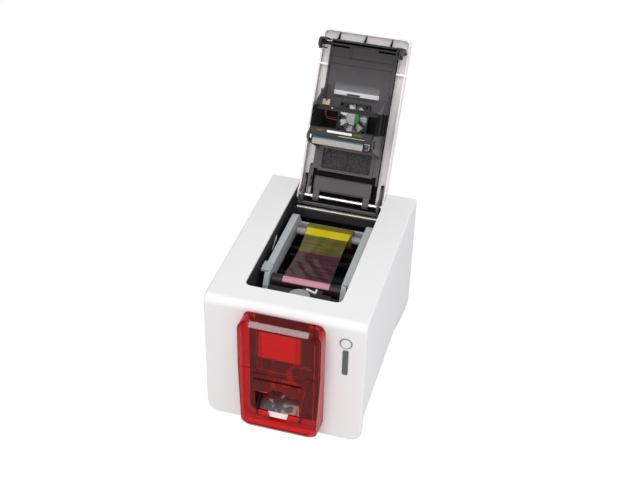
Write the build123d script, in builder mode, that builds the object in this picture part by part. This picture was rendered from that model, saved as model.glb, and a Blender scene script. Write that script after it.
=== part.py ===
from build123d import *
import os
from math import cos, radians, sin, sqrt, tan

# Id card printer: a white desktop casing with a hinged top lid over a ribbon cassette,
# a flip-up feeder cover and a fixed output cover on its front.
# Frame: millimetres, +Z up, the front looks along -Y, origin under the middle of the casing
# on the plane that the feet stand on.

os.makedirs("parts", exist_ok=True)

# ---------------------------------------------------------------- driving sizes
CASE_W = 205.0              # casing width
CASE_D = 280.0              # casing depth, front face to rear face
CASE_H = 190.0              # casing height, without the feet
FOOT_H = 5.0
WALL = 2.5                  # casing wall
FRONT_R = 11.0              # rounding between the top and the front face
SIDE_R = 3.0                # rounding of the long top edges and upright front edges
CORNER_R = 16.0             # lower corners of the front face
UNDERCUT = 10.0             # how far the sides draw in at the base
UNDERCUT_H = 54.0           # height of the drawn-in part
PANEL_T = 6.0               # front panel that keeps the full width
FLARE_FROM_REAR = 70.0      # where the sides start to flare out again
FLARE_L = 56.0

BAY_W = 123.0               # top opening
BAY_SETBACK = 35.5          # front face to the opening
BAY_R = 8.0
BAY_DEPTH = 112.5           # top face to the tub floor
TUB_T = 2.5

HINGE_SETBACK = 15.5        # hinge axis to the rear face
HINGE_DROP = 13.0           # hinge axis below the top face
SHAFT_R = 3.0
RUN = 0.05                  # radial clearance of a running fit
GAP = 0.3                   # clearance between curved or moving faces
OPEN_ANGLE = 120.0          # how far the lid stands open

LID_CLEAR = 1.0             # lid edge to the opening, all round
LID_T = 2.2                 # lid skin
LID_FLOOR_DROP = 15.0       # top face to the inner floor of the lid
LID_CAP_L = 46.3            # front cap of the lid
LID_SPLIT = 1.8             # open joint between the cap and the main shell
LID_FRAME_HALF = 46.0
CHEEK_T = 2.0

CARD_W = 54.0
CARD_L = 85.6
CARD_T = 0.76
CARD_R = 3.18
CARD_COUNT = 52
STACK_PROUD = 18.0          # card stack stands in front of the front face
STACK_DROP = 62.0           # top face to the underside of the stack
PATH_DROP = 85.3            # top face to the printing path

COVER_W = 105.0             # red covers
COVER_PROUD = 24.0
COVER_BEVEL_W = 6.5
COVER_BEVEL_T = 4.0
COVER_T = 2.0
COVER_R = 16.0
COVER_TAPER = 4.5           # how far the lower cover draws in at its foot, along the front edges
COVER_TOP_DROP = 7.0        # top face to the cover's top
COVER_BOTTOM = 10.0         # cover's underside above the base of the casing
SEAM_DROP = 78.3            # top face to the joint between the covers
SEAM_GAP = 0.6
FEED_HINGE_R = 5.0
FEED_PIN_R = 1.2

RAIL_W = 9.0                # cassette
RAIL_T = 3.0
RAIL_DROP = 19.0            # top face to the rail's top
WEB_IN = 47.0               # middle of the cassette to its side webs
WEB_T = 2.0
ROLL_DROP = 37.0            # top face to the roll axes
SUPPLY_TO_HINGE = 52.5
TAKEUP_TO_HINGE = 164.5
SUPPLY_R = 13.0
TAKEUP_R = 9.8
SUPPLY_CORE_R = 5.0
TAKEUP_CORE_R = 9.0
JOURNAL_R = 3.0
FILM_W = 61.5
FILM_T = 0.3
LIFT = 80.0                 # how far the cassette lifts out

PLATEN_TO_HINGE = 77.0
ROLLER_R = 7.7
FEED_ROLLER_R = 8.7
FEED_ROLLER_L = 34.0
PINCH_R = 5.0
ROLLER_SHAFT_R = 2.5
ROLLER_L = 60.0
DRIVE_TO_HINGE = 154.5
REAR_TO_HINGE = 36.5
PULLEY_R = 6.5
PULLEY_W = 5.0
BELT_T = 1.3
GEAR_MODULE = 1.0
GEAR_TEETH = 42
PINION_TEETH = 14
GEAR_W = 4.0

FAN_SIZE = 42.0
FAN_T = 10.0
FAN_TO_HINGE = 113.0
FAN_X = 1.0
FAN_BORE_R = 19.2
FAN_BLADE_R = 18.6
FAN_HUB_R = 9.5
FAN_BLADES = 7

BUTTON_X = 77.6
BUTTON_DROP = 30.3
BUTTON_R = 6.3
RING_R = 8.0
LIGHT_W = 7.5
LIGHT_TOP_DROP = 41.0
LIGHT_L = 39.0

# ---------------------------------------------------------------- places worked out from them
HALF_W = CASE_W / 2
FRONT_Y = -CASE_D / 2
REAR_Y = CASE_D / 2
BASE_Z = FOOT_H
TOP_Z = FOOT_H + CASE_H
BAY_HALF = BAY_W / 2
BAY_FRONT_Y = FRONT_Y + BAY_SETBACK
TUB_FLOOR_Z = TOP_Z - BAY_DEPTH
TUB_OUT = BAY_HALF + TUB_T
HINGE_Y = REAR_Y - HINGE_SETBACK
HINGE_Z = TOP_Z - HINGE_DROP
LID_HALF = BAY_HALF - LID_CLEAR
LID_FRONT_Y = BAY_FRONT_Y + LID_CLEAR
LID_SPLIT_Y = LID_FRONT_Y + LID_CAP_L
LID_FLOOR_Z = TOP_Z - LID_FLOOR_DROP
LID_SKIN_Z = TOP_Z - LID_T
STACK_FRONT_Y = FRONT_Y - STACK_PROUD
STACK_REAR_Y = STACK_FRONT_Y + CARD_L
STACK_Z = TOP_Z - STACK_DROP
STACK_H = CARD_COUNT * CARD_T
PATH_Z = TOP_Z - PATH_DROP
COVER_HALF = COVER_W / 2
COVER_FACE_Y = FRONT_Y - COVER_PROUD
COVER_TOP_Z = TOP_Z - COVER_TOP_DROP
COVER_LOW_Z = BASE_Z + COVER_BOTTOM
SEAM_Z = TOP_Z - SEAM_DROP
FEED_HINGE_Y = FRONT_Y - GAP - FEED_HINGE_R
FEED_HINGE_Z = COVER_TOP_Z - FEED_HINGE_R
RAIL_Z = TOP_Z - RAIL_DROP
ROLL_Z = TOP_Z - ROLL_DROP
SUPPLY_Y = HINGE_Y - SUPPLY_TO_HINGE
TAKEUP_Y = HINGE_Y - TAKEUP_TO_HINGE
PLATEN_Y = HINGE_Y - PLATEN_TO_HINGE
DRIVE_Y = HINGE_Y - DRIVE_TO_HINGE
REAR_ROLLER_Y = HINGE_Y - REAR_TO_HINGE
ROLLER_Z = PATH_Z - ROLLER_R
FEED_ROLLER_Y = BAY_FRONT_Y + 9.5
FEED_ROLLER_Z = STACK_Z - GAP - FEED_ROLLER_R
FAN_Y = HINGE_Y - FAN_TO_HINGE
BUTTON_Z = TOP_Z - BUTTON_DROP

HINGE_AXIS = Axis((0, HINGE_Y, HINGE_Z), (1, 0, 0))


def slab(x0, x1, y0, y1, z0, z1, mode=Mode.ADD):
    """A rectangular block between two corners, in the part that is being built."""
    with Locations(((x0 + x1) / 2, (y0 + y1) / 2, (z0 + z1) / 2)):
        Box(x1 - x0, y1 - y0, z1 - z0, mode=mode)


def rod(x0, x1, y, z, radius, mode=Mode.ADD):
    """A round bar along X."""
    with BuildSketch(Plane.YZ.offset(x0)) as disc:
        with Locations((y, z)):
            Circle(radius)
    extrude(disc.sketch, amount=x1 - x0, mode=mode)


def post(x, y, z0, z1, radius, mode=Mode.ADD):
    """A round upright."""
    with BuildSketch(Plane.XY.offset(z0)) as disc:
        with Locations((x, y)):
            Circle(radius)
    extrude(disc.sketch, amount=z1 - z0, mode=mode)


def side_plate(x0, x1, outline, mode=Mode.ADD):
    """A flat plate that lies across X, from its outline of (y, z) corners."""
    with BuildSketch(Plane.YZ.offset(x0)) as plate:
        with BuildLine():
            Polyline(*outline, close=True)
        make_face()
    extrude(plate.sketch, amount=x1 - x0, mode=mode)


def opened(piece):
    """Turns a lid piece that was built shut to where it stands with the lid open."""
    return piece.rotate(HINGE_AXIS, -OPEN_ANGLE)


# ---------------------------------------------------------------- casing
def undercut_arc(inset, depth, plane):
    """The region that a drawn-in side leaves out, at one station along the casing."""
    radius = (UNDERCUT_H**2 + depth**2) / (2 * depth)
    centre = HALF_W - radius
    top = BASE_Z + UNDERCUT_H
    low = BASE_Z - 1
    inner = radius - inset
    with BuildSketch(plane) as region:
        for side in (-1, 1):
            with BuildLine():
                start = (side * (centre + inner), top)
                middle_z = (top + low) / 2
                middle = (side * (centre + sqrt(inner**2 - (top - middle_z) ** 2)), middle_z)
                end = (side * (centre + sqrt(inner**2 - (top - low) ** 2)), low)
                ThreePointArc(start, middle, end)
                Polyline(end, (side * (HALF_W + 5), low), (side * (HALF_W + 5), top), start)
            make_face()
    return region.sketch


def casing_block(inset):
    """The casing's outer form, or with an inset the hollow inside it."""
    half = HALF_W - inset
    low = BASE_Z + inset
    high = TOP_Z - inset
    start_y = FRONT_Y + inset
    end_y = REAR_Y + inset
    cut_y = FRONT_Y + PANEL_T - inset
    flare_y = REAR_Y - FLARE_FROM_REAR
    flare_end_y = flare_y + FLARE_L
    with BuildPart() as block:
        with BuildSketch(Plane.XZ.offset(-start_y)) as face:
            with Locations((0, (low + high) / 2)):
                Rectangle(2 * half, high - low)
            fillet(face.vertices().group_by(Axis.Y)[0], CORNER_R - inset)
        extrude(amount=-(end_y - start_y))
        top_front = block.edges().filter_by(Axis.X).group_by(Axis.Z)[-1].sort_by(Axis.Y)[0]
        fillet(top_front, FRONT_R - inset)
        long_top = block.edges().filter_by(Axis.Y).group_by(Axis.Z)[-1]
        fillet(long_top, max(SIDE_R - inset, 0.4))
        near = undercut_arc(inset, UNDERCUT, Plane.XZ.offset(-cut_y))
        extrude(near, amount=-(flare_y - cut_y), mode=Mode.SUBTRACT)
        first = undercut_arc(inset, UNDERCUT, Plane.XZ.offset(-flare_y))
        last = undercut_arc(inset, 0.3, Plane.XZ.offset(-flare_end_y))
        for a, b in zip(first.faces().sort_by(Axis.X), last.faces().sort_by(Axis.X)):
            loft([a, b], mode=Mode.SUBTRACT)
    return block.part


TRAY_HALF = HALF_W - CORNER_R - 2.5
FRONT_OPEN_HALF = 44.0
FRONT_OPEN_LOW = COVER_LOW_Z + 9
FRONT_OPEN_HIGH = TOP_Z - 10

with BuildPart() as outer_casing:
    add(casing_block(0))
    add(casing_block(WALL), mode=Mode.SUBTRACT)
    slab(-TRAY_HALF, TRAY_HALF, FRONT_Y + 10, REAR_Y + 1, BASE_Z - 1, BASE_Z + WALL + 1, Mode.SUBTRACT)
    with BuildSketch(Plane.XY.offset(TOP_Z - WALL - 1)) as opening:
        with Locations((0, (BAY_FRONT_Y + REAR_Y + 20) / 2)):
            Rectangle(BAY_W, REAR_Y + 20 - BAY_FRONT_Y)
        fillet(opening.vertices().group_by(Axis.Y)[0], BAY_R)
    extrude(amount=WALL + 2, mode=Mode.SUBTRACT)
    with BuildSketch(Plane.XZ.offset(-FRONT_Y - WALL - 1)):
        with Locations((0, (FRONT_OPEN_LOW + FRONT_OPEN_HIGH) / 2)):
            RectangleRounded(2 * FRONT_OPEN_HALF, FRONT_OPEN_HIGH - FRONT_OPEN_LOW, 6)
    extrude(amount=WALL + 2, mode=Mode.SUBTRACT)
    with BuildSketch(Plane.XZ.offset(-FRONT_Y - WALL - 1)):
        with Locations((BUTTON_X, BUTTON_Z)):
            Circle(RING_R - 1)
        with Locations((BUTTON_X, TOP_Z - LIGHT_TOP_DROP - LIGHT_L / 2)):
            Rectangle(LIGHT_W - 1.5, LIGHT_L - 1.5)
    extrude(amount=WALL + 2, mode=Mode.SUBTRACT)
outer_casing.part.label = "outer_casing"
export_step(outer_casing.part, "parts/outer_casing.step")

TRAY_T = 2.0
TRAY_TOP_Z = BASE_Z + WALL + TRAY_T
BOARD_Z = TRAY_TOP_Z + 6.5
BOARD_T = 1.6
BOARD_TOP_Z = BOARD_Z + BOARD_T
BOARD_X0 = -76.0
BOARD_X1 = 60.0
BOARD_Y0 = REAR_Y - 112
BOARD_Y1 = REAR_Y - 4
BOARD_POSTS = [(x, y) for x in (BOARD_X0 + 5, BOARD_X1 - 5) for y in (BOARD_Y0 + 5, BOARD_Y1 - 16)]
PANEL_Y = REAR_Y - 2.2

with BuildPart() as base_tray:
    slab(-TRAY_HALF + GAP, TRAY_HALF - GAP, FRONT_Y + 10 + GAP, PANEL_Y - GAP, BASE_Z, BASE_Z + WALL)
    slab(-TRAY_HALF - 2, TRAY_HALF + 2, FRONT_Y + 6, PANEL_Y - GAP, BASE_Z + WALL, TRAY_TOP_Z)
    for x, y in BOARD_POSTS:
        post(x, y, TRAY_TOP_Z, BOARD_Z, 3)
    for x in (-30, 0, 30):
        slab(x - 1, x + 1, FRONT_Y + 40, BOARD_Y0 - 8, TRAY_TOP_Z, TRAY_TOP_Z + 5)
    for y in (FRONT_Y + 48, BOARD_Y0 - 20):
        slab(-60, 60, y - 1, y + 1, TRAY_TOP_Z, TRAY_TOP_Z + 5)
base_tray.part.label = "base_tray"
export_step(base_tray.part, "parts/base_tray.step")

FOOT_X = TRAY_HALF - 11
FOOT_Y = CASE_D / 2 - 22
with BuildPart() as rubber_feet:
    with BuildSketch():
        with GridLocations(2 * FOOT_X, 2 * FOOT_Y, 2, 2):
            Circle(8)
        Circle(8)
    extrude(amount=FOOT_H)
    chamfer(rubber_feet.edges().filter_by(GeomType.CIRCLE).group_by(Axis.Z)[0], 1)
rubber_feet.part.label = "rubber_feet"
export_step(rubber_feet.part, "parts/rubber_feet.step")

# ---------------------------------------------------------------- rear panel and its sockets
PANEL_HALF = HALF_W - WALL - GAP
PANEL_LOW_Z = BASE_Z + WALL + GAP
PANEL_MID_Z = HINGE_Z - 6.0
SOCKET_Z = BOARD_TOP_Z
POWER_X = -62.0
USB_X = -22.0
NET_X = 14.0
POWER_W = 12.0
POWER_H = 11.0
USB_W = 12.0
USB_H = 11.0
NET_W = 16.0
NET_H = 13.5
SOCKET_CLEAR = 0.4

with BuildPart() as rear_panel:
    with BuildSketch(Plane.XZ.offset(-PANEL_Y)) as panel:
        with Locations((0, (PANEL_LOW_Z + TOP_Z - WALL - GAP) / 2)):
            Rectangle(2 * PANEL_HALF, TOP_Z - WALL - GAP - PANEL_LOW_Z)
        fillet(panel.vertices().group_by(Axis.Y)[0], CORNER_R - WALL - GAP)
        with Locations((0, PANEL_MID_Z + 20)):
            Rectangle(2 * (TUB_OUT + GAP), 40, mode=Mode.SUBTRACT)
        for x, width, height in ((POWER_X, POWER_W, POWER_H), (USB_X, USB_W, USB_H), (NET_X, NET_W, NET_H)):
            with Locations((x, SOCKET_Z + height / 2)):
                Rectangle(width + 2 * SOCKET_CLEAR, height + 2 * SOCKET_CLEAR, mode=Mode.SUBTRACT)
        with Locations((HALF_W - 22, SOCKET_Z + 6)):
            RectangleRounded(7, 3, 1.2, mode=Mode.SUBTRACT)
        with Locations((0, TOP_Z - 72)):
            with GridLocations(7, 1, 13, 1):
                SlotOverall(26, 3, rotation=90, mode=Mode.SUBTRACT)
    extrude(amount=-(REAR_Y - PANEL_Y))
    for x in (-1, 1):
        slab(min(x * 70, x * 72), max(x * 70, x * 72), PANEL_Y - 6, PANEL_Y, BASE_Z + 40, TOP_Z - 40)
rear_panel.part.label = "rear_panel"
export_step(rear_panel.part, "parts/rear_panel.step")

TUB_REAR_Y = HINGE_Y - 10.5
TUB_POST_X = 48.0
TUB_POST_R = 6.0
TUB_POST_YS = (FRONT_Y + 60, TUB_REAR_Y - 12)

with BuildPart() as main_board:
    slab(BOARD_X0, BOARD_X1, BOARD_Y0, BOARD_Y1, BOARD_Z, BOARD_TOP_Z)
    for x in (-TUB_POST_X, TUB_POST_X):
        post(x, TUB_POST_YS[1], BOARD_Z - 1, BOARD_TOP_Z + 1, TUB_POST_R + 1, Mode.SUBTRACT)
    slab(-20, 0, BOARD_Y0 + 30, BOARD_Y0 + 50, BOARD_TOP_Z, BOARD_TOP_Z + 1.6)
    slab(16, 30, BOARD_Y0 + 28, BOARD_Y0 + 46, BOARD_TOP_Z, BOARD_TOP_Z + 1.6)
    for y in range(3):
        slab(-60, -54, BOARD_Y0 + 12 + 16 * y, BOARD_Y0 + 24 + 16 * y, BOARD_TOP_Z, BOARD_TOP_Z + 6)
    for y in range(2):
        post(46, BOARD_Y0 + 20 + 16 * y, BOARD_TOP_Z, BOARD_TOP_Z + 12, 5)
main_board.part.label = "main_board"
export_step(main_board.part, "parts/main_board.step")

with BuildPart() as power_inlet:
    slab(POWER_X - POWER_W / 2, POWER_X + POWER_W / 2, REAR_Y - 14, REAR_Y - 0.2, SOCKET_Z, SOCKET_Z + POWER_H)
    with BuildSketch(Plane.XZ.offset(-REAR_Y)):
        with Locations((POWER_X, SOCKET_Z + POWER_H / 2)):
            Circle(3.2)
            Circle(1.0, mode=Mode.SUBTRACT)
    extrude(amount=-10, mode=Mode.SUBTRACT, both=True)
power_inlet.part.label = "power_inlet"
export_step(power_inlet.part, "parts/power_inlet.step")

with BuildPart() as usb_socket:
    slab(USB_X - USB_W / 2, USB_X + USB_W / 2, REAR_Y - 16, REAR_Y - 0.2, SOCKET_Z, SOCKET_Z + USB_H)
    slab(USB_X - 4.4, USB_X + 4.4, REAR_Y - 11, REAR_Y, SOCKET_Z + 1.4, SOCKET_Z + 9.2, Mode.SUBTRACT)
usb_socket.part.label = "usb_socket"
export_step(usb_socket.part, "parts/usb_socket.step")

with BuildPart() as network_socket:
    slab(NET_X - NET_W / 2, NET_X + NET_W / 2, REAR_Y - 21, REAR_Y - 0.2, SOCKET_Z, SOCKET_Z + NET_H)
    slab(NET_X - 6, NET_X + 6, REAR_Y - 14, REAR_Y, SOCKET_Z + 3, SOCKET_Z + 11, Mode.SUBTRACT)
    slab(NET_X - 2.5, NET_X + 2.5, REAR_Y - 14, REAR_Y, SOCKET_Z + 1.4, SOCKET_Z + 3, Mode.SUBTRACT)
network_socket.part.label = "network_socket"
export_step(network_socket.part, "parts/network_socket.step")

# ---------------------------------------------------------------- bay tub, beam and hinge shaft
TUB_TOP_Z = TOP_Z - WALL
TUB_FLOOR_TOP = TUB_FLOOR_Z + TUB_T
BEAM_Z0 = HINGE_Z - 22
BEAM_Z1 = HINGE_Z - 14
TUB_END_Y = HINGE_Y + 11
TUB_FRONT_Y = BAY_FRONT_Y - TUB_T
GRIP_DEPTH = 2.0
LEDGE_Z = RAIL_Z - GRIP_DEPTH - GAP
GRIP_Y0 = TAKEUP_Y - 7
GRIP_Y1 = TAKEUP_Y + 11
SHAFT_HOLES = [
    (FEED_ROLLER_Y, FEED_ROLLER_Z),
    (DRIVE_Y, ROLLER_Z),
    (PLATEN_Y, ROLLER_Z),
    (REAR_ROLLER_Y, ROLLER_Z),
    (DRIVE_Y, PATH_Z + CARD_T + PINCH_R),
    (REAR_ROLLER_Y, PATH_Z + CARD_T + PINCH_R),
]

WINDOW_HALF = 28.5
WINDOW_LOW = BASE_Z + 45
WINDOW_HIGH = BASE_Z + 75
HOPPER_TILT = 36.0
HOPPER_FRONT_Y = COVER_FACE_Y + COVER_T + 0.8
HOPPER_Z = WINDOW_LOW - 12
HOPPER_L = CARD_L + 2
HOPPER_RUN = HOPPER_L * cos(radians(HOPPER_TILT))
HOPPER_RISE = HOPPER_L * sin(radians(HOPPER_TILT))
HOPPER_HALF = CARD_W / 2 + 2.5

with BuildPart() as bay_tub:
    slab(-TUB_OUT, TUB_OUT, TUB_FRONT_Y, TUB_REAR_Y + TUB_T, TUB_FLOOR_Z, TUB_FLOOR_TOP)
    slab(-TUB_OUT, TUB_OUT, TUB_REAR_Y, TUB_REAR_Y + TUB_T, TUB_FLOOR_Z, BEAM_Z0)
    slab(-TUB_OUT, TUB_OUT, TUB_FRONT_Y, BAY_FRONT_Y, TUB_FLOOR_Z, TUB_TOP_Z)
    slab(-41, 41, TUB_FRONT_Y - 1, BAY_FRONT_Y + 1, PATH_Z - 15, STACK_Z + STACK_H + 3, Mode.SUBTRACT)
    for side in (-1, 1):
        inner = side * BAY_HALF
        outer = side * TUB_OUT
        wall = [
            (TUB_FRONT_Y, TUB_FLOOR_Z),
            (TUB_REAR_Y + TUB_T, TUB_FLOOR_Z),
            (TUB_REAR_Y + TUB_T, BEAM_Z0 - 8),
            (TUB_END_Y, BEAM_Z0 + 6),
            (TUB_END_Y, TUB_TOP_Z),
            (TUB_FRONT_Y, TUB_TOP_Z),
        ]
        side_plate(min(inner, outer), max(inner, outer), wall)
        ledge = side * (BAY_HALF - 4.5)
        slab(min(ledge, inner), max(ledge, inner), GRIP_Y0 + 2, GRIP_Y1 - 2, LEDGE_Z - 6, LEDGE_Z)
        catch = side * (BAY_HALF - 2)
        slab(min(catch, inner), max(catch, inner), BAY_FRONT_Y + 13, BAY_FRONT_Y + 19, RAIL_Z - 22, RAIL_Z - 17)
        for y in (TAKEUP_Y + 40, TAKEUP_Y + 70, SUPPLY_Y + 4):
            rib = side * (BAY_HALF - 1.5)
            slab(min(rib, inner), max(rib, inner), y, y + 5, TUB_FLOOR_TOP, RAIL_Z - 6)
        for y in TUB_POST_YS:
            post(side * TUB_POST_X, y, TRAY_TOP_Z, TUB_FLOOR_Z, TUB_POST_R)
    hopper_end = HOPPER_FRONT_Y + HOPPER_RUN + 3
    chute_half = HOPPER_HALF + 1.5
    slab(-chute_half, chute_half, TUB_FRONT_Y - 1, hopper_end, TUB_FLOOR_Z - 1, PATH_Z - 10, Mode.SUBTRACT)
    rod(-TUB_OUT - 1, TUB_OUT + 1, HINGE_Y, HINGE_Z, SHAFT_R + 0.02, Mode.SUBTRACT)
    for y, z in SHAFT_HOLES:
        rod(-TUB_OUT - 1, TUB_OUT + 1, y, z, ROLLER_SHAFT_R + RUN, Mode.SUBTRACT)
bay_tub.part.label = "bay_tub"
export_step(bay_tub.part, "parts/bay_tub.step")

STRIP_Y0 = TUB_REAR_Y - 10
with BuildPart() as rear_cross_beam:
    beam = [
        (STRIP_Y0 - 1.5, BEAM_Z0),
        (TUB_REAR_Y + TUB_T, BEAM_Z0),
        (TUB_REAR_Y + TUB_T + 2, BEAM_Z0 + 3),
        (TUB_REAR_Y + TUB_T, BEAM_Z1 - 1),
        (STRIP_Y0 + 6, BEAM_Z1 + 1),
        (STRIP_Y0 + 4, BEAM_Z1 + 4),
        (STRIP_Y0 - 1.5, BEAM_Z1 + 4),
    ]
    side_plate(-BAY_HALF + 0.1, BAY_HALF - 0.1, beam)
    for i in range(9):
        x = -48 + 12 * i
        slab(x - 0.6, x + 0.6, STRIP_Y0 + 6, TUB_REAR_Y + 2, BEAM_Z1 - 1, BEAM_Z1 + 1.2)
rear_cross_beam.part.label = "rear_cross_beam"
export_step(rear_cross_beam.part, "parts/rear_cross_beam.step")

with BuildPart() as guide_strip:
    with BuildSketch(Plane.YZ.offset(-BAY_HALF + 5)):
        with Locations((STRIP_Y0 + 1.5, BEAM_Z1 + 4 + 1.75)):
            RectangleRounded(4, 3.5, 1.2)
    extrude(amount=BAY_W - 10)
guide_strip.part.label = "guide_strip"
export_step(guide_strip.part, "parts/guide_strip.step")

with BuildPart() as hinge_shaft:
    rod(-TUB_OUT - 1.5, TUB_OUT + 1.5, HINGE_Y, HINGE_Z, SHAFT_R)
    chamfer(hinge_shaft.edges().filter_by(GeomType.CIRCLE), 0.5)
hinge_shaft.part.label = "hinge_shaft"
export_step(hinge_shaft.part, "parts/hinge_shaft.step")

with BuildPart() as wall_spring:
    leaf_y = TAKEUP_Y + 52
    leaf = [
        (leaf_y, RAIL_Z - 12),
        (leaf_y + 16, RAIL_Z - 2),
        (leaf_y + 16, RAIL_Z + 1),
        (leaf_y + 12, RAIL_Z + 1),
        (leaf_y - 4, RAIL_Z - 9),
        (leaf_y - 4, RAIL_Z - 12),
    ]
    side_plate(-BAY_HALF, -BAY_HALF + 0.6, leaf)
wall_spring.part.label = "wall_spring"
export_step(wall_spring.part, "parts/wall_spring.step")

# ---------------------------------------------------------------- feeder
GUIDE_IN = CARD_W / 2 + 0.6
ROOF_Z = STACK_Z + STACK_H + 0.5
ROOF_T = 1.5
ROOF_END_Y = STACK_REAR_Y + 1.4
LUG_X = 40.0
LUG_T = 3.0
FEED_BACK_T = 1.4
SHELF_Z = ROOF_Z + ROOF_T

with BuildPart() as feeder_housing:
    slab(-40, 40, FRONT_Y + 2.6, ROOF_END_Y, ROOF_Z, ROOF_Z + ROOF_T)
    for side in (-1, 1):
        inner = side * GUIDE_IN
        outer = side * (GUIDE_IN + 2)
        shelf = side * (CARD_W / 2 - 7)
        slab(min(inner, outer), max(inner, outer), STACK_FRONT_Y + 1, ROOF_END_Y, STACK_Z - 3, ROOF_Z)
        slab(min(shelf, inner), max(shelf, inner), STACK_FRONT_Y + 1, ROOF_END_Y - 3, STACK_Z - 3, STACK_Z - 0.2)
        lug = side * LUG_X
        with BuildSketch(Plane.YZ.offset(lug - LUG_T / 2)):
            with Locations((FEED_HINGE_Y, FEED_HINGE_Z)):
                Circle(2.7)
            with BuildLine():
                Polyline(
                    (FEED_HINGE_Y, FEED_HINGE_Z - 2.7),
                    (FRONT_Y + 6, FEED_HINGE_Z - 9),
                    (FRONT_Y + 6, FEED_HINGE_Z - 3),
                    (FEED_HINGE_Y, FEED_HINGE_Z + 2.7),
                    close=True,
                )
            make_face()
            with Locations((FEED_HINGE_Y, FEED_HINGE_Z)):
                Circle(FEED_PIN_R + 0.02, mode=Mode.SUBTRACT)
        extrude(amount=LUG_T)
        slab(lug - LUG_T / 2, lug + LUG_T / 2, FRONT_Y + 2.6, FRONT_Y + 6, ROOF_Z + ROOF_T, FEED_HINGE_Z - 3)
    slab(-40, 40, FRONT_Y + 2.6, FRONT_Y + 5, PATH_Z + 6, STACK_Z - 3)
    for side in (-1, 1):
        a = side * (GUIDE_IN + 2)
        b = side * 46
        slab(min(a, b), max(a, b), FRONT_Y + 2.6, FRONT_Y + 5, PATH_Z + 6, ROOF_Z + ROOF_T)
    slab(-GUIDE_IN - 2, GUIDE_IN + 2, STACK_FRONT_Y + 1, FRONT_Y + 3, ROOF_Z, ROOF_Z + ROOF_T)
    slab(-GUIDE_IN, GUIDE_IN, ROOF_END_Y - FEED_BACK_T, ROOF_END_Y, STACK_Z + CARD_T + 0.5, ROOF_Z)
    slab(2, 28, ROOF_END_Y - 0.5, ROOF_END_Y + 7, ROOF_Z, SHELF_Z)
feeder_housing.part.label = "feeder_housing"
export_step(feeder_housing.part, "parts/feeder_housing.step")

with BuildPart() as card_stack:
    packs = 4
    pack_h = STACK_H / packs
    for i in range(packs):
        shift = 0.25 if i % 2 else -0.25
        with BuildSketch(Plane.XY.offset(STACK_Z + i * pack_h)):
            with Locations((shift, (STACK_FRONT_Y + STACK_REAR_Y) / 2 - 0.3 + shift)):
                RectangleRounded(CARD_W, CARD_L - 1.2, CARD_R)
        extrude(amount=pack_h)
card_stack.part.label = "card_stack"
export_step(card_stack.part, "parts/card_stack.step")

with BuildPart() as feeder_hinge_pins:
    for side in (-1, 1):
        x0 = min(side * (LUG_X - 6), side * (LUG_X + 6))
        rod(x0, x0 + 12, FEED_HINGE_Y, FEED_HINGE_Z, FEED_PIN_R)
feeder_hinge_pins.part.label = "feeder_hinge_pins"
export_step(feeder_hinge_pins.part, "parts/feeder_hinge_pins.step")

DIAL_Z = ROOF_Z + ROOF_T
DIAL_Y = ROOF_END_Y - 12.6
DIAL_T = 1.2
LEVER_T = 1.7
with BuildPart() as gauge_dial:
    with BuildSketch(Plane.XY.offset(DIAL_Z)):
        with Locations((2, DIAL_Y)):
            Circle(14)
            Circle(10.5, mode=Mode.SUBTRACT)
            Rectangle(40, 30, align=(Align.CENTER, Align.MAX), mode=Mode.SUBTRACT)
    extrude(amount=DIAL_T)
    with BuildSketch(Plane.XY.offset(DIAL_Z)):
        with Locations((2, DIAL_Y)):
            Circle(10.5)
            Rectangle(40, 30, align=(Align.CENTER, Align.MAX), mode=Mode.SUBTRACT)
    extrude(amount=0.7)
gauge_dial.part.label = "gauge_dial"
export_step(gauge_dial.part, "parts/gauge_dial.step")

with BuildPart() as gauge_lever:
    with BuildSketch(Plane.XY.offset(SHELF_Z)):
        with BuildLine():
            Polyline(
                (6.6, ROOF_END_Y + 2.4),
                (19.2, ROOF_END_Y - 2.2),
                (21.0, ROOF_END_Y - 1.4),
                (21.0, ROOF_END_Y + 6.2),
                (18.9, ROOF_END_Y + 6.2),
                (18.9, ROOF_END_Y + 0.4),
                (7.4, ROOF_END_Y + 4.6),
                close=True,
            )
        make_face()
    extrude(amount=LEVER_T)
gauge_lever.part.label = "gauge_lever"
export_step(gauge_lever.part, "parts/gauge_lever.step")


# ---------------------------------------------------------------- red covers
def cover_block(inset):
    """The full red cover before it is divided: an upright box with bevelled edges."""
    half = COVER_HALF - inset
    low = COVER_LOW_Z + inset
    high = COVER_TOP_Z - inset
    corner = COVER_R - inset
    shoulder_y = COVER_FACE_Y + COVER_BEVEL_T + inset * 0.45
    face_y = COVER_FACE_Y + inset
    face_half = COVER_HALF - COVER_BEVEL_W - inset * 0.6
    shrink = half - face_half
    with BuildPart() as block:
        with BuildSketch(Plane.XZ.offset(-shoulder_y)) as base:
            with Locations((0, (low + high) / 2)):
                RectangleRounded(2 * half, high - low, corner)
        extrude(amount=-(FRONT_Y - shoulder_y))
        with BuildSketch(Plane.XZ.offset(-face_y)) as front:
            with Locations((0, (low + high) / 2)):
                RectangleRounded(2 * (half - shrink), high - low - 2 * shrink, max(corner - shrink, 1))
        loft([base.sketch.face(), front.sketch.face()])
        for side in (-1, 1):
            wedge = []
            for z, taper in ((SEAM_Z - 2, 0), (COVER_LOW_Z - 1, COVER_TAPER)):
                with BuildSketch(Plane.XY.offset(z)) as station:
                    with BuildLine():
                        Polyline(
                            (side * half, FRONT_Y + 1),
                            (side * (half + 6), FRONT_Y + 1),
                            (side * (half + 6), COVER_FACE_Y - 1),
                            (side * (half - taper), COVER_FACE_Y - 1),
                            close=True,
                        )
                    make_face()
                wedge.append(station.sketch.face())
            loft(wedge, mode=Mode.SUBTRACT)
    return block.part


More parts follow.
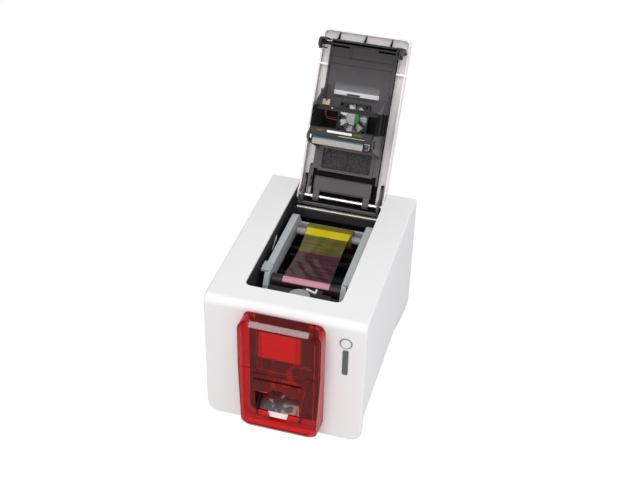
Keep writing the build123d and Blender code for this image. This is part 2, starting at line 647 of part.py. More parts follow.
THUMB_R = 13.0
NOTCH_HALF = 13.5
NOTCH_SLANT = 2.7
WINDOW_X = -0.8
RIDGE_W = 1.2
SLOT_Z = PATH_Z - 8.2
SLOT_HALF = 30.0

cover_shell = cover_block(0) - cover_block(COVER_T)

with BuildPart() as feeder_cover:
    add(cover_shell)
    below = SEAM_Z + SEAM_GAP / 2
    slab(-80, 80, COVER_FACE_Y - 5, FRONT_Y + 5, 0, below, Mode.SUBTRACT)
    with BuildSketch(Plane.YZ.offset(-80)):
        with Locations((FEED_HINGE_Y + 10, FEED_HINGE_Z + 10)):
            Rectangle(20, 20)
        with Locations((FEED_HINGE_Y, FEED_HINGE_Z)):
            Circle(FEED_HINGE_R, mode=Mode.SUBTRACT)
    extrude(amount=160, mode=Mode.SUBTRACT)
    for side in (-1, 1):
        for x in (side * 22.6, side * 28.0):
            slab(x - 0.6, x + 0.6, COVER_FACE_Y + 1.5, STACK_FRONT_Y - 0.8, SEAM_Z + 1, STACK_Z + STACK_H + 6)
        for x in (side * (LUG_X - 4.4), side * (LUG_X + 4.4)):
            with BuildSketch(Plane.YZ.offset(x - 1.6)):
                with Locations((FEED_HINGE_Y, FEED_HINGE_Z)):
                    Circle(FEED_HINGE_R - 0.6)
            extrude(amount=3.2)
        slab(
            side * LUG_X - LUG_T / 2 - GAP,
            side * LUG_X + LUG_T / 2 + GAP,
            FEED_HINGE_Y - 3.2,
            FRONT_Y + 2,
            FEED_HINGE_Z - 12,
            COVER_TOP_Z - COVER_T + 0.2,
            Mode.SUBTRACT,
        )
        slab(
            side * LUG_X - LUG_T / 2 - GAP,
            side * LUG_X + LUG_T / 2 + GAP,
            FEED_HINGE_Y - 1.6,
            FRONT_Y + 2,
            FEED_HINGE_Z - 12,
            COVER_TOP_Z + 1,
            Mode.SUBTRACT,
        )
    rod(-80, 80, FEED_HINGE_Y, FEED_HINGE_Z, FEED_PIN_R + RUN, Mode.SUBTRACT)
feeder_cover.part.label = "feeder_cover"
export_step(feeder_cover.part, "parts/feeder_cover.step")

with BuildPart() as output_cover:
    add(cover_shell)
    above = SEAM_Z - SEAM_GAP / 2
    slab(-80, 80, COVER_FACE_Y - 5, FRONT_Y + 5, above, TOP_Z + 20, Mode.SUBTRACT)
    with BuildSketch(Plane.XZ.offset(-COVER_FACE_Y - 4)):
        with Locations((WINDOW_X, (WINDOW_LOW + WINDOW_HIGH) / 2)):
            Rectangle(2 * WINDOW_HALF, WINDOW_HIGH - WINDOW_LOW)
        with Locations((WINDOW_X, WINDOW_HIGH - 5.5)):
            Circle(THUMB_R)
        with BuildLine():
            Polyline(
                (-NOTCH_HALF, WINDOW_LOW + 1),
                (NOTCH_HALF, WINDOW_LOW + 1),
                (NOTCH_HALF - NOTCH_SLANT, WINDOW_LOW - 11),
                (-NOTCH_HALF + NOTCH_SLANT, WINDOW_LOW - 11),
                close=True,
            )
        make_face()
        with Locations((0, WINDOW_LOW - 11)):
            SlotOverall(2 * (NOTCH_HALF - NOTCH_SLANT), 10)
    extrude(amount=8, mode=Mode.SUBTRACT)
    with BuildSketch(Plane.XZ.offset(-COVER_FACE_Y)):
        with Locations((0, SLOT_Z)):
            SlotOverall(2 * SLOT_HALF + 3, 4.4)
        with Locations((0, SLOT_Z + 3.5)):
            Rectangle(2 * SLOT_HALF + 4, 11.5)
            Rectangle(2 * SLOT_HALF + 4 - 2 * RIDGE_W, 11.5 - 2 * RIDGE_W, mode=Mode.SUBTRACT)
            Rectangle(2 * SLOT_HALF + 4 - 2 * RIDGE_W, 1, mode=Mode.SUBTRACT)
    extrude(amount=0.6)
    with BuildSketch(Plane.XZ.offset(-COVER_FACE_Y - 4)):
        with Locations((0, SLOT_Z)):
            SlotOverall(2 * SLOT_HALF, 2)
    extrude(amount=8, mode=Mode.SUBTRACT)
output_cover.part.label = "output_cover"
export_step(output_cover.part, "parts/output_cover.step")

tilt = radians(HOPPER_TILT)
floor_plane = Plane(origin=(0, HOPPER_FRONT_Y, HOPPER_Z), x_dir=(1, 0, 0), z_dir=(0, -sin(tilt), cos(tilt)))

with BuildPart() as output_hopper:
    with BuildSketch(floor_plane):
        with Locations((0, HOPPER_L / 2)):
            Rectangle(CARD_W + 5, HOPPER_L)
        with Locations((0, 4)):
            Circle(10, mode=Mode.SUBTRACT)
    extrude(amount=-2)
    for side in (-1, 1):
        inner = side * (CARD_W / 2 + 0.5)
        outer = side * HOPPER_HALF
        wall = [
            (HOPPER_FRONT_Y, HOPPER_Z),
            (HOPPER_FRONT_Y + HOPPER_RUN, HOPPER_Z + HOPPER_RISE),
            (HOPPER_FRONT_Y + HOPPER_RUN - 6, HOPPER_Z + HOPPER_RISE),
            (HOPPER_FRONT_Y, HOPPER_Z + 12),
        ]
        side_plate(min(inner, outer), max(inner, outer), wall)
        foot = side * HOPPER_HALF
        ear = side * 46
        slab(min(foot, ear), max(foot, ear), FRONT_Y + 2.6, FRONT_Y + 5, HOPPER_Z + 4, HOPPER_Z + 26)
output_hopper.part.label = "output_hopper"
export_step(output_hopper.part, "parts/output_hopper.step")

with BuildPart() as printed_card:
    card_plane = floor_plane.offset(0.1)
    with BuildSketch(card_plane):
        with Locations((0, CARD_L / 2 + 0.4)):
            RectangleRounded(CARD_W, CARD_L, CARD_R)
    extrude(amount=CARD_T)
printed_card.part.label = "printed_card"
export_step(printed_card.part, "parts/printed_card.step")

# ---------------------------------------------------------------- button and status light
with BuildPart() as button_ring:
    with BuildSketch(Plane.XZ.offset(-FRONT_Y)):
        with Locations((BUTTON_X, BUTTON_Z)):
            Circle(RING_R)
            Circle(BUTTON_R + 0.2, mode=Mode.SUBTRACT)
    extrude(amount=0.8)
    with BuildSketch(Plane.XZ.offset(-FRONT_Y)):
        with Locations((BUTTON_X, BUTTON_Z)):
            Circle(RING_R - 1.1)
            Circle(BUTTON_R + 0.2, mode=Mode.SUBTRACT)
    extrude(amount=-8)
    rim = button_ring.edges().filter_by(GeomType.CIRCLE).group_by(Axis.Y)[0].sort_by(SortBy.RADIUS)[-1]
    fillet(rim, 0.5)
button_ring.part.label = "button_ring"
export_step(button_ring.part, "parts/button_ring.step")

with BuildPart() as control_button:
    with BuildSketch(Plane.XZ.offset(-FRONT_Y - 5)):
        with Locations((BUTTON_X, BUTTON_Z)):
            Circle(BUTTON_R)
    extrude(amount=6.4)
    fillet(control_button.edges().filter_by(GeomType.CIRCLE).group_by(Axis.Y)[0], 0.6)
    with BuildSketch(Plane.XZ.offset(-FRONT_Y - 5)):
        with Locations((BUTTON_X, BUTTON_Z)):
            Circle(3)
    extrude(amount=-4.5)
control_button.part.label = "control_button"
export_step(control_button.part, "parts/control_button.step")

SWITCH_Y = FRONT_Y + 11.2
with BuildPart() as button_board:
    slab(BUTTON_X - 9, BUTTON_X + 9, SWITCH_Y + 3, SWITCH_Y + 4.6, BUTTON_Z - 50, BUTTON_Z + 10)
    slab(BUTTON_X - 3, BUTTON_X + 3, SWITCH_Y, SWITCH_Y + 3, BUTTON_Z - 3, BUTTON_Z + 3)
    for side in (-1, 1):
        for z in (BUTTON_Z - 46, BUTTON_Z + 9):
            x = BUTTON_X + side * 7.2
            slab(x - 1.5, x + 1.5, FRONT_Y + WALL, SWITCH_Y + 3, z - 1.5, z + 1.5)
button_board.part.label = "button_board"
export_step(button_board.part, "parts/button_board.step")

with BuildPart() as status_light:
    with BuildSketch(Plane.XZ.offset(-FRONT_Y)):
        with Locations((BUTTON_X, TOP_Z - LIGHT_TOP_DROP - LIGHT_L / 2)):
            RectangleRounded(LIGHT_W, LIGHT_L, 2)
        with Locations((BUTTON_X, BUTTON_Z)):
            Circle(RING_R + 0.4, mode=Mode.SUBTRACT)
    extrude(amount=0.4)
    with BuildSketch(Plane.XZ.offset(-FRONT_Y)):
        with Locations((BUTTON_X, TOP_Z - LIGHT_TOP_DROP - LIGHT_L / 2)):
            Rectangle(LIGHT_W - 2, LIGHT_L - 2)
        with Locations((BUTTON_X, BUTTON_Z)):
            Circle(RING_R + 0.4, mode=Mode.SUBTRACT)
    extrude(amount=-WALL - 1)
status_light.part.label = "status_light"
export_step(status_light.part, "parts/status_light.step")


# ---------------------------------------------------------------- rollers, gears and belt
def roller(y, z, radius, left, right, length=ROLLER_L):
    """A rubber roller on its steel shaft, between two places along X."""
    with BuildPart() as piece:
        rod(left, right, y, z, ROLLER_SHAFT_R)
        rod(-length / 2, length / 2, y, z, radius)
        for side in (-1, 1):
            x0 = min(side * (BAY_HALF - 0.4), side * (BAY_HALF - 2.4))
            rod(x0, x0 + 2, y, z, ROLLER_SHAFT_R + 1.5)
    return piece.part


def spur_gear(plane_x, y, z, teeth, turn):
    """A spur gear across X with its teeth made by a polar pattern."""
    pitch_r = GEAR_MODULE * teeth / 2
    tip_r = pitch_r + 0.85 * GEAR_MODULE
    root_r = pitch_r - 1.15 * GEAR_MODULE
    half_root = 0.30 * GEAR_MODULE * 3.1416
    half_tip = 0.10 * GEAR_MODULE * 3.1416
    with BuildPart() as gear:
        with BuildSketch(Plane.YZ.offset(plane_x)):
            with Locations((y, z)):
                Circle(root_r)
                with PolarLocations(root_r - 0.3, teeth, turn):
                    Polygon(
                        (0, -half_root),
                        (tip_r - root_r + 0.3, -half_tip),
                        (tip_r - root_r + 0.3, half_tip),
                        (0, half_root),
                        align=None,
                    )
        extrude(amount=GEAR_W)
    return gear.part


BELT_X = TUB_OUT + 2.5
GEAR_X = -TUB_OUT - 2.5 - GEAR_W
PULLEY_END = BELT_X + PULLEY_W + 1.5
ROLLER_LEFT = -TUB_OUT - 1.5


def driven_roller(y, z, radius, left=ROLLER_LEFT, length=ROLLER_L):
    """A roller with a belt pulley on its right-hand end."""
    with BuildPart() as piece:
        add(roller(y, z, radius, left, PULLEY_END, length))
        rod(BELT_X, BELT_X + PULLEY_W, y, z, PULLEY_R)
    return piece.part


platen_roller = driven_roller(PLATEN_Y, ROLLER_Z, ROLLER_R)
platen_roller.label = "platen_roller"
export_step(platen_roller, "parts/platen_roller.step")

rear_roller = driven_roller(REAR_ROLLER_Y, ROLLER_Z, ROLLER_R)
rear_roller.label = "rear_roller"
export_step(rear_roller, "parts/rear_roller.step")

feed_roller = driven_roller(FEED_ROLLER_Y, FEED_ROLLER_Z, FEED_ROLLER_R, ROLLER_LEFT, FEED_ROLLER_L)
feed_roller.label = "feed_roller"
export_step(feed_roller, "parts/feed_roller.step")

drive_roller = driven_roller(DRIVE_Y, ROLLER_Z, ROLLER_R, GEAR_X - 1)
drive_roller.label = "drive_roller"
export_step(drive_roller, "parts/drive_roller.step")

with BuildPart() as drive_gear:
    add(spur_gear(GEAR_X, DRIVE_Y, ROLLER_Z, GEAR_TEETH, 0))
    rod(GEAR_X - 1, GEAR_X + GEAR_W + 1, DRIVE_Y, ROLLER_Z, ROLLER_SHAFT_R, Mode.SUBTRACT)
    with BuildSketch(Plane.YZ.offset(GEAR_X)):
        with Locations((DRIVE_Y, ROLLER_Z)):
            with PolarLocations(11.5, 5):
                Circle(4)
    extrude(amount=GEAR_W, mode=Mode.SUBTRACT)
drive_gear.part.label = "drive_gear"
export_step(drive_gear.part, "parts/drive_gear.step")

pinch_z = PATH_Z + CARD_T + PINCH_R
for pinch_name, pinch_y in (("front_pinch_roller", DRIVE_Y), ("rear_pinch_roller", REAR_ROLLER_Y)):
    pinch = roller(pinch_y, pinch_z, PINCH_R - 0.1, ROLLER_LEFT, -ROLLER_LEFT)
    pinch.label = pinch_name
    export_step(pinch, f"parts/{pinch_name}.step")

MOTOR_Y = DRIVE_Y - GEAR_MODULE * (GEAR_TEETH + PINION_TEETH) / 2
MOTOR_FRONT_X = GEAR_X - 3
MOTOR_L = 24.0
MOTOR_SIZE = 28.0
with BuildPart() as motor_pinion:
    add(spur_gear(GEAR_X, MOTOR_Y, ROLLER_Z, PINION_TEETH, 180 / PINION_TEETH))
    rod(MOTOR_FRONT_X - 4, GEAR_X + GEAR_W, MOTOR_Y, ROLLER_Z, 1.5)
motor_pinion.part.label = "motor_pinion"
export_step(motor_pinion.part, "parts/motor_pinion.step")

with BuildPart() as drive_motor:
    with BuildSketch(Plane.YZ.offset(MOTOR_FRONT_X - 1.5 - MOTOR_L)) as body:
        with Locations((MOTOR_Y, ROLLER_Z)):
            Rectangle(MOTOR_SIZE, MOTOR_SIZE)
        chamfer(body.vertices(), 3)
    extrude(amount=MOTOR_L)
    rod(MOTOR_FRONT_X - 5, MOTOR_FRONT_X, MOTOR_Y, ROLLER_Z, 1.5 + RUN, Mode.SUBTRACT)
drive_motor.part.label = "drive_motor"
export_step(drive_motor.part, "parts/drive_motor.step")

with BuildPart() as motor_bracket:
    half = MOTOR_SIZE / 2 + 3
    slab(MOTOR_FRONT_X - 1.5, MOTOR_FRONT_X, MOTOR_Y - half, MOTOR_Y + half - 7, ROLLER_Z - half, ROLLER_Z + half)
    rod(MOTOR_FRONT_X - 2, MOTOR_FRONT_X + 1, MOTOR_Y, ROLLER_Z, 6, Mode.SUBTRACT)
    for y in (MOTOR_Y - half + 3, MOTOR_Y + half - 10):
        for z in (ROLLER_Z - half + 3, ROLLER_Z + half - 3):
            rod(MOTOR_FRONT_X - 0.5, -TUB_OUT, y, z, 2.5)
motor_bracket.part.label = "motor_bracket"
export_step(motor_bracket.part, "parts/motor_bracket.step")

PULLEY_CENTRES = [
    (FEED_ROLLER_Y, FEED_ROLLER_Z),
    (DRIVE_Y, ROLLER_Z),
    (REAR_ROLLER_Y, ROLLER_Z),
]


def belt_outline(radius):
    """The line of a belt stretched round the pulleys."""
    with BuildSketch(Plane.YZ.offset(BELT_X + 0.5)) as loop:
        with Locations(*PULLEY_CENTRES):
            Circle(radius)
        make_hull()
    return loop.sketch


with BuildPart() as drive_belt:
    extrude(belt_outline(PULLEY_R + 0.15 + BELT_T), amount=PULLEY_W - 1)
    extrude(belt_outline(PULLEY_R + 0.15), amount=PULLEY_W - 1, mode=Mode.SUBTRACT)
drive_belt.part.label = "drive_belt"
export_step(drive_belt.part, "parts/drive_belt.step")

# ---------------------------------------------------------------- ribbon cassette
WEB_OUT = WEB_IN + WEB_T
RAIL_FRONT_Y = GRIP_Y1
RAIL_REAR_Y = SUPPLY_Y + 12
WEB_LOW_Z = ROLL_Z - 9
FRONT_TIE_Y = TAKEUP_Y - 15
REAR_TIE_Y = SUPPLY_Y + 19
RAIL_END_R = 5.0
ARM_W = 6.5

with BuildPart() as cassette_frame:
    for side in (-1, 1):
        web_in = side * WEB_IN
        web_out = side * WEB_OUT
        rail_out = side * (WEB_IN + RAIL_W)
        with BuildSketch(Plane.YZ.offset(min(web_in, web_out))) as web:
            with BuildLine():
                Polyline(
                    (FRONT_TIE_Y - 4, ROLL_Z - 12),
                    (FRONT_TIE_Y + 3, ROLL_Z - 14),
                    (TAKEUP_Y, WEB_LOW_Z),
                    (TAKEUP_Y + 14, ROLL_Z - 6),
                    (SUPPLY_Y - 14, ROLL_Z - 6),
                    (SUPPLY_Y, WEB_LOW_Z),
                    (REAR_TIE_Y + 4, ROLL_Z - 10),
                    (REAR_TIE_Y + 4, ROLL_Z + 2),
                    (RAIL_REAR_Y + 3, RAIL_Z - 5),
                    (RAIL_REAR_Y, RAIL_Z - 1),
                    (GRIP_Y0 + 2, RAIL_Z - 1),
                    (GRIP_Y0 - 2, RAIL_Z - 8),
                    (FRONT_TIE_Y - 4, ROLL_Z - 2),
                    close=True,
                )
            make_face()
            fillet(web.vertices(), 1.8)
        extrude(amount=WEB_T)
        with BuildSketch(Plane.YZ.offset(min(web_in, rail_out))) as rail:
            with BuildLine():
                Polyline(
                    (RAIL_FRONT_Y - 3, RAIL_Z),
                    (RAIL_REAR_Y - 2, RAIL_Z),
                    (RAIL_REAR_Y + 4, RAIL_Z - 3),
                    (RAIL_REAR_Y + 6.5, RAIL_Z - 9),
                    (RAIL_REAR_Y + 3.5, RAIL_Z - 9),
                    (RAIL_REAR_Y + 2, RAIL_Z - 5),
                    (RAIL_REAR_Y - 3, RAIL_Z - RAIL_T),
                    (RAIL_FRONT_Y - 3, RAIL_Z - RAIL_T),
                    close=True,
                )
            make_face()
            fillet(rail.vertices().group_by(Axis.X)[-1], 0.8)
        extrude(amount=RAIL_W)
        corner_x = rail_out - side * RAIL_END_R
        corner_y = RAIL_REAR_Y + 6.5 - RAIL_END_R
        with BuildSketch(Plane.XY.offset(RAIL_Z - 12)):
            with BuildLine():
                Polyline(
                    (corner_x, corner_y),
                    (rail_out + side, corner_y),
                    (rail_out + side, corner_y + RAIL_END_R + 1),
                    (corner_x, corner_y + RAIL_END_R + 1),
                    close=True,
                )
            make_face()
            with Locations((corner_x, corner_y)):
                Circle(RAIL_END_R, mode=Mode.SUBTRACT)
        extrude(amount=14, mode=Mode.SUBTRACT)
        arm_out = side * (WEB_IN + ARM_W)
        arm = [
            (GRIP_Y0 + 10, RAIL_Z - GRIP_DEPTH),
            (GRIP_Y0 - 1, RAIL_Z - GRIP_DEPTH),
            (GRIP_Y0 - 5, RAIL_Z - 8),
            (GRIP_Y0 - 10, ROLL_Z + 2),
            (GRIP_Y0 - 11.5, ROLL_Z - 8),
            (GRIP_Y0 - 11.5, ROLL_Z - 13),
            (GRIP_Y0 - 6, ROLL_Z - 14),
            (GRIP_Y0 - 4, ROLL_Z - 4),
            (GRIP_Y0 + 2, ROLL_Z + 6),
            (GRIP_Y0 + 10, ROLL_Z + 10),
        ]
        side_plate(min(web_in, arm_out), max(web_in, arm_out), arm)
        grip_in = side * (WEB_IN + 1.5)
        grip_out = side * (WEB_IN + 12)
        slab(min(grip_in, grip_out), max(grip_in, grip_out), GRIP_Y0, GRIP_Y1, RAIL_Z - GRIP_DEPTH, RAIL_Z + 1)
        for i in range(5):
            y = GRIP_Y0 + 2.5 + 3.3 * i
            slab(min(grip_in, grip_out), max(grip_in, grip_out), y - 0.7, y + 0.7, RAIL_Z + 0.5, RAIL_Z + 1.8)
        for y in (TAKEUP_Y, SUPPLY_Y):
            rod(min(web_in, web_out), min(web_in, web_out) + WEB_T, y, ROLL_Z, 8.5)
            rod(min(web_in, web_out) - 1, max(web_in, web_out) + 1, y, ROLL_Z, JOURNAL_R + RUN, Mode.SUBTRACT)
    slab(-WEB_IN, WEB_IN, REAR_TIE_Y, REAR_TIE_Y + 3, ROLL_Z - 8, ROLL_Z)
cassette_frame.part.label = "cassette_frame"
export_step(cassette_frame.part, "parts/cassette_frame.step")

with BuildPart() as cassette_front_bar:
    with BuildSketch(Plane.YZ.offset(-WEB_IN)):
        with Locations((FRONT_TIE_Y, ROLL_Z - 6)):
            RectangleRounded(4, 10, 1.2)
    extrude(amount=2 * WEB_IN)
cassette_front_bar.part.label = "cassette_front_bar"
export_step(cassette_front_bar.part, "parts/cassette_front_bar.step")


def spool(y, core_r, roll_r):
    """A core with its journals, and the wound film on it, as two solids."""
    with BuildPart() as core:
        rod(-WEB_IN + 0.4, WEB_IN - 0.4, y, ROLL_Z, core_r)
        rod(-WEB_OUT + 0.3, WEB_OUT - 0.3, y, ROLL_Z, JOURNAL_R)
        ends = core.edges().filter_by(GeomType.CIRCLE).group_by(SortBy.RADIUS)[-1]
        chamfer(ends, 0.6)
    with BuildPart() as roll:
        rod(-FILM_W / 2, FILM_W / 2, y, ROLL_Z, roll_r)
        rod(-FILM_W / 2 - 1, FILM_W / 2 + 1, y, ROLL_Z, core_r, Mode.SUBTRACT)
    return core.part, roll.part


supply_core, supply_roll = spool(SUPPLY_Y, SUPPLY_CORE_R, SUPPLY_R)
supply_core.label = "supply_core"
export_step(supply_core, "parts/supply_core.step")
supply_roll.label = "supply_roll"
export_step(supply_roll, "parts/supply_roll.step")
takeup_core, takeup_roll = spool(TAKEUP_Y, TAKEUP_CORE_R, TAKEUP_R)
takeup_core.label = "takeup_core"
export_step(takeup_core, "parts/takeup_core.step")
takeup_roll.label = "takeup_roll"
export_step(takeup_roll, "parts/takeup_roll.step")

FILM_SAG = 3.0
with BuildPart() as ribbon_film:
    high = ROLL_Z + SUPPLY_R + GAP
    low = ROLL_Z + TAKEUP_R + GAP
    middle_y = (SUPPLY_Y + TAKEUP_Y) / 2
    middle_z = (high + low) / 2 - FILM_SAG
    with BuildSketch(Plane.YZ.offset(-FILM_W / 2)):
        with BuildLine():
            ThreePointArc((SUPPLY_Y, high), (middle_y, middle_z), (TAKEUP_Y, low))
            Line((TAKEUP_Y, low), (TAKEUP_Y, low + FILM_T))
            ThreePointArc((TAKEUP_Y, low + FILM_T), (middle_y, middle_z + FILM_T), (SUPPLY_Y, high + FILM_T))
            Line((SUPPLY_Y, high + FILM_T), (SUPPLY_Y, high))
        make_face()
    extrude(amount=FILM_W)
ribbon_film.part.label = "ribbon_film"
export_step(ribbon_film.part, "parts/ribbon_film.step")

# ---------------------------------------------------------------- lid, built shut and then opened
SKIRT_END = -10.0
LID_WALL_LOW = LID_FLOOR_Z + 1.0
LID_MAIN_Y0 = LID_SPLIT_Y + LID_SPLIT


def skirt_point(radius, angle):
    """A point of the quarter round behind the hinge axis, in the plane across X."""
    return (HINGE_Y + radius * cos(radians(angle)), HINGE_Z + radius * sin(radians(angle)))


with BuildPart() as lid_shell:
    inner_r = HINGE_DROP - LID_T
    with BuildSketch(Plane.YZ.offset(-LID_HALF)):
        with BuildLine():
            Line((LID_MAIN_Y0, TOP_Z), skirt_point(HINGE_DROP, 90))
            ThreePointArc(skirt_point(HINGE_DROP, 90), skirt_point(HINGE_DROP, 40), skirt_point(HINGE_DROP, SKIRT_END))
            Line(skirt_point(HINGE_DROP, SKIRT_END), skirt_point(inner_r, SKIRT_END))
            ThreePointArc(skirt_point(inner_r, SKIRT_END), skirt_point(inner_r, 40), skirt_point(inner_r, 90))
            Polyline(skirt_point(inner_r, 90), (LID_MAIN_Y0, LID_SKIN_Z), (LID_MAIN_Y0, TOP_Z))
        make_face()
    extrude(amount=2 * LID_HALF)
    for side in (-1, 1):
        x0 = min(side * LID_HALF, side * (LID_HALF - LID_T))
        wall = [
            (LID_MAIN_Y0, LID_SKIN_Z),
            (LID_MAIN_Y0, LID_WALL_LOW),
            (HINGE_Y - 14, LID_WALL_LOW),
            (HINGE_Y - 6, HINGE_Z - 7),
            (HINGE_Y + 4, HINGE_Z - 7),
            (HINGE_Y + 8, HINGE_Z),
            (HINGE_Y + 4, LID_SKIN_Z),
        ]
        side_plate(x0, x0 + LID_T, wall)
        rod(x0 - 1, x0 + LID_T + 1, HINGE_Y, HINGE_Z, SHAFT_R + RUN, Mode.SUBTRACT)
    for side in (-1, 1):
        a = side * (LID_FRAME_HALF + GAP)
        b = side * (LID_HALF - 2)
        slab(min(a, b), max(a, b), LID_MAIN_Y0, LID_MAIN_Y0 + 1.4, LID_SKIN_Z - 5, LID_SKIN_Z)
    top_edges = lid_shell.edges().filter_by(Axis.Y).group_by(Axis.Z)[-1]
    fillet(top_edges, 1.2)
lid_shell_open = opened(lid_shell.part)
lid_shell_open.label = "lid_shell"
export_step(lid_shell_open, "parts/lid_shell.step")

with BuildPart() as lid_front_cap:
    with BuildSketch(Plane.XY.offset(LID_FLOOR_Z + 4)) as plan:
        with Locations((0, (LID_FRONT_Y + LID_SPLIT_Y) / 2)):
            Rectangle(2 * LID_HALF, LID_SPLIT_Y - LID_FRONT_Y)
        fillet(plan.vertices().group_by(Axis.Y)[0], BAY_R - LID_CLEAR)
    extrude(amount=TOP_Z - LID_FLOOR_Z - 4)
    with BuildSketch(Plane.XY.offset(LID_FLOOR_Z + 3)) as hollow:
        with Locations((0, (LID_FRONT_Y + LID_SPLIT_Y) / 2 + LID_T)):
            Rectangle(2 * (LID_HALF - LID_T), LID_SPLIT_Y - LID_FRONT_Y)
        fillet(hollow.vertices().group_by(Axis.Y)[0], BAY_R - LID_CLEAR - LID_T + 1)
    extrude(amount=LID_SKIN_Z - LID_FLOOR_Z - 3, mode=Mode.SUBTRACT)
    fillet(lid_front_cap.faces().sort_by(Axis.Z)[-1].edges(), 1.2)
lid_front_cap_open = opened(lid_front_cap.part)
lid_front_cap_open.label = "lid_front_cap"
export_step(lid_front_cap_open, "parts/lid_front_cap.step")

FRAME_FRONT_Y = LID_FRONT_Y + 13
FRAME_T = 2.0
FRAME_TOP = LID_FLOOR_Z + FRAME_T
CHEEK_IN = LID_FRAME_HALF - 4
CHEEK_OUT = CHEEK_IN + CHEEK_T
TIE_Y = HINGE_Y - 123.0
TIE_Z = HINGE_Z - 52
TIE_H = 5.5
TIE_HALF = 3.1
HEAD_PIVOT_Y = PLATEN_Y - 7
HEAD_PIVOT_Z = PATH_Z + 11.3
WINDOW_X0 = -34.0
WINDOW_X1 = 34.0
PANE_Y0 = HINGE_Y - 69.5
PANE_Y1 = HINGE_Y - 38.5
PANE_RIDGE = 4.0
RECESS_Y1 = PANE_Y1 + 11
FLAP_Y1 = RECESS_Y1 + 20
FLAP_Z = LID_FLOOR_Z - 2
FLAP_HALF = 40.0
LEVER_W = 4.2
KNUCKLE_X = 35.0
KNUCKLE_R = 6.3
LINING_R = HINGE_DROP - LID_T - GAP
LINING_T = 1.7
LINING_HALF = 57.0
BAND_Y0 = FRAME_FRONT_Y + 11.5
BAND_Y1 = FRAME_FRONT_Y + 22.5
STEP_Y1 = FRAME_FRONT_Y + 32
LATCH_Y = FRAME_FRONT_Y + 6.5
LATCH_Z = LID_FLOOR_Z + 1
LATCH_R = 1.6
LATCH_HALF = LID_HALF - LID_T - 0.5
HOOK_SPANS = ((-LATCH_HALF, -LATCH_HALF + 3.5), (LATCH_HALF - 5, LATCH_HALF - 1.5))
GUSSET_X = (-38.5, -2.0, 34.0)
BAND_H = 2.4
STEP_H = 1.2

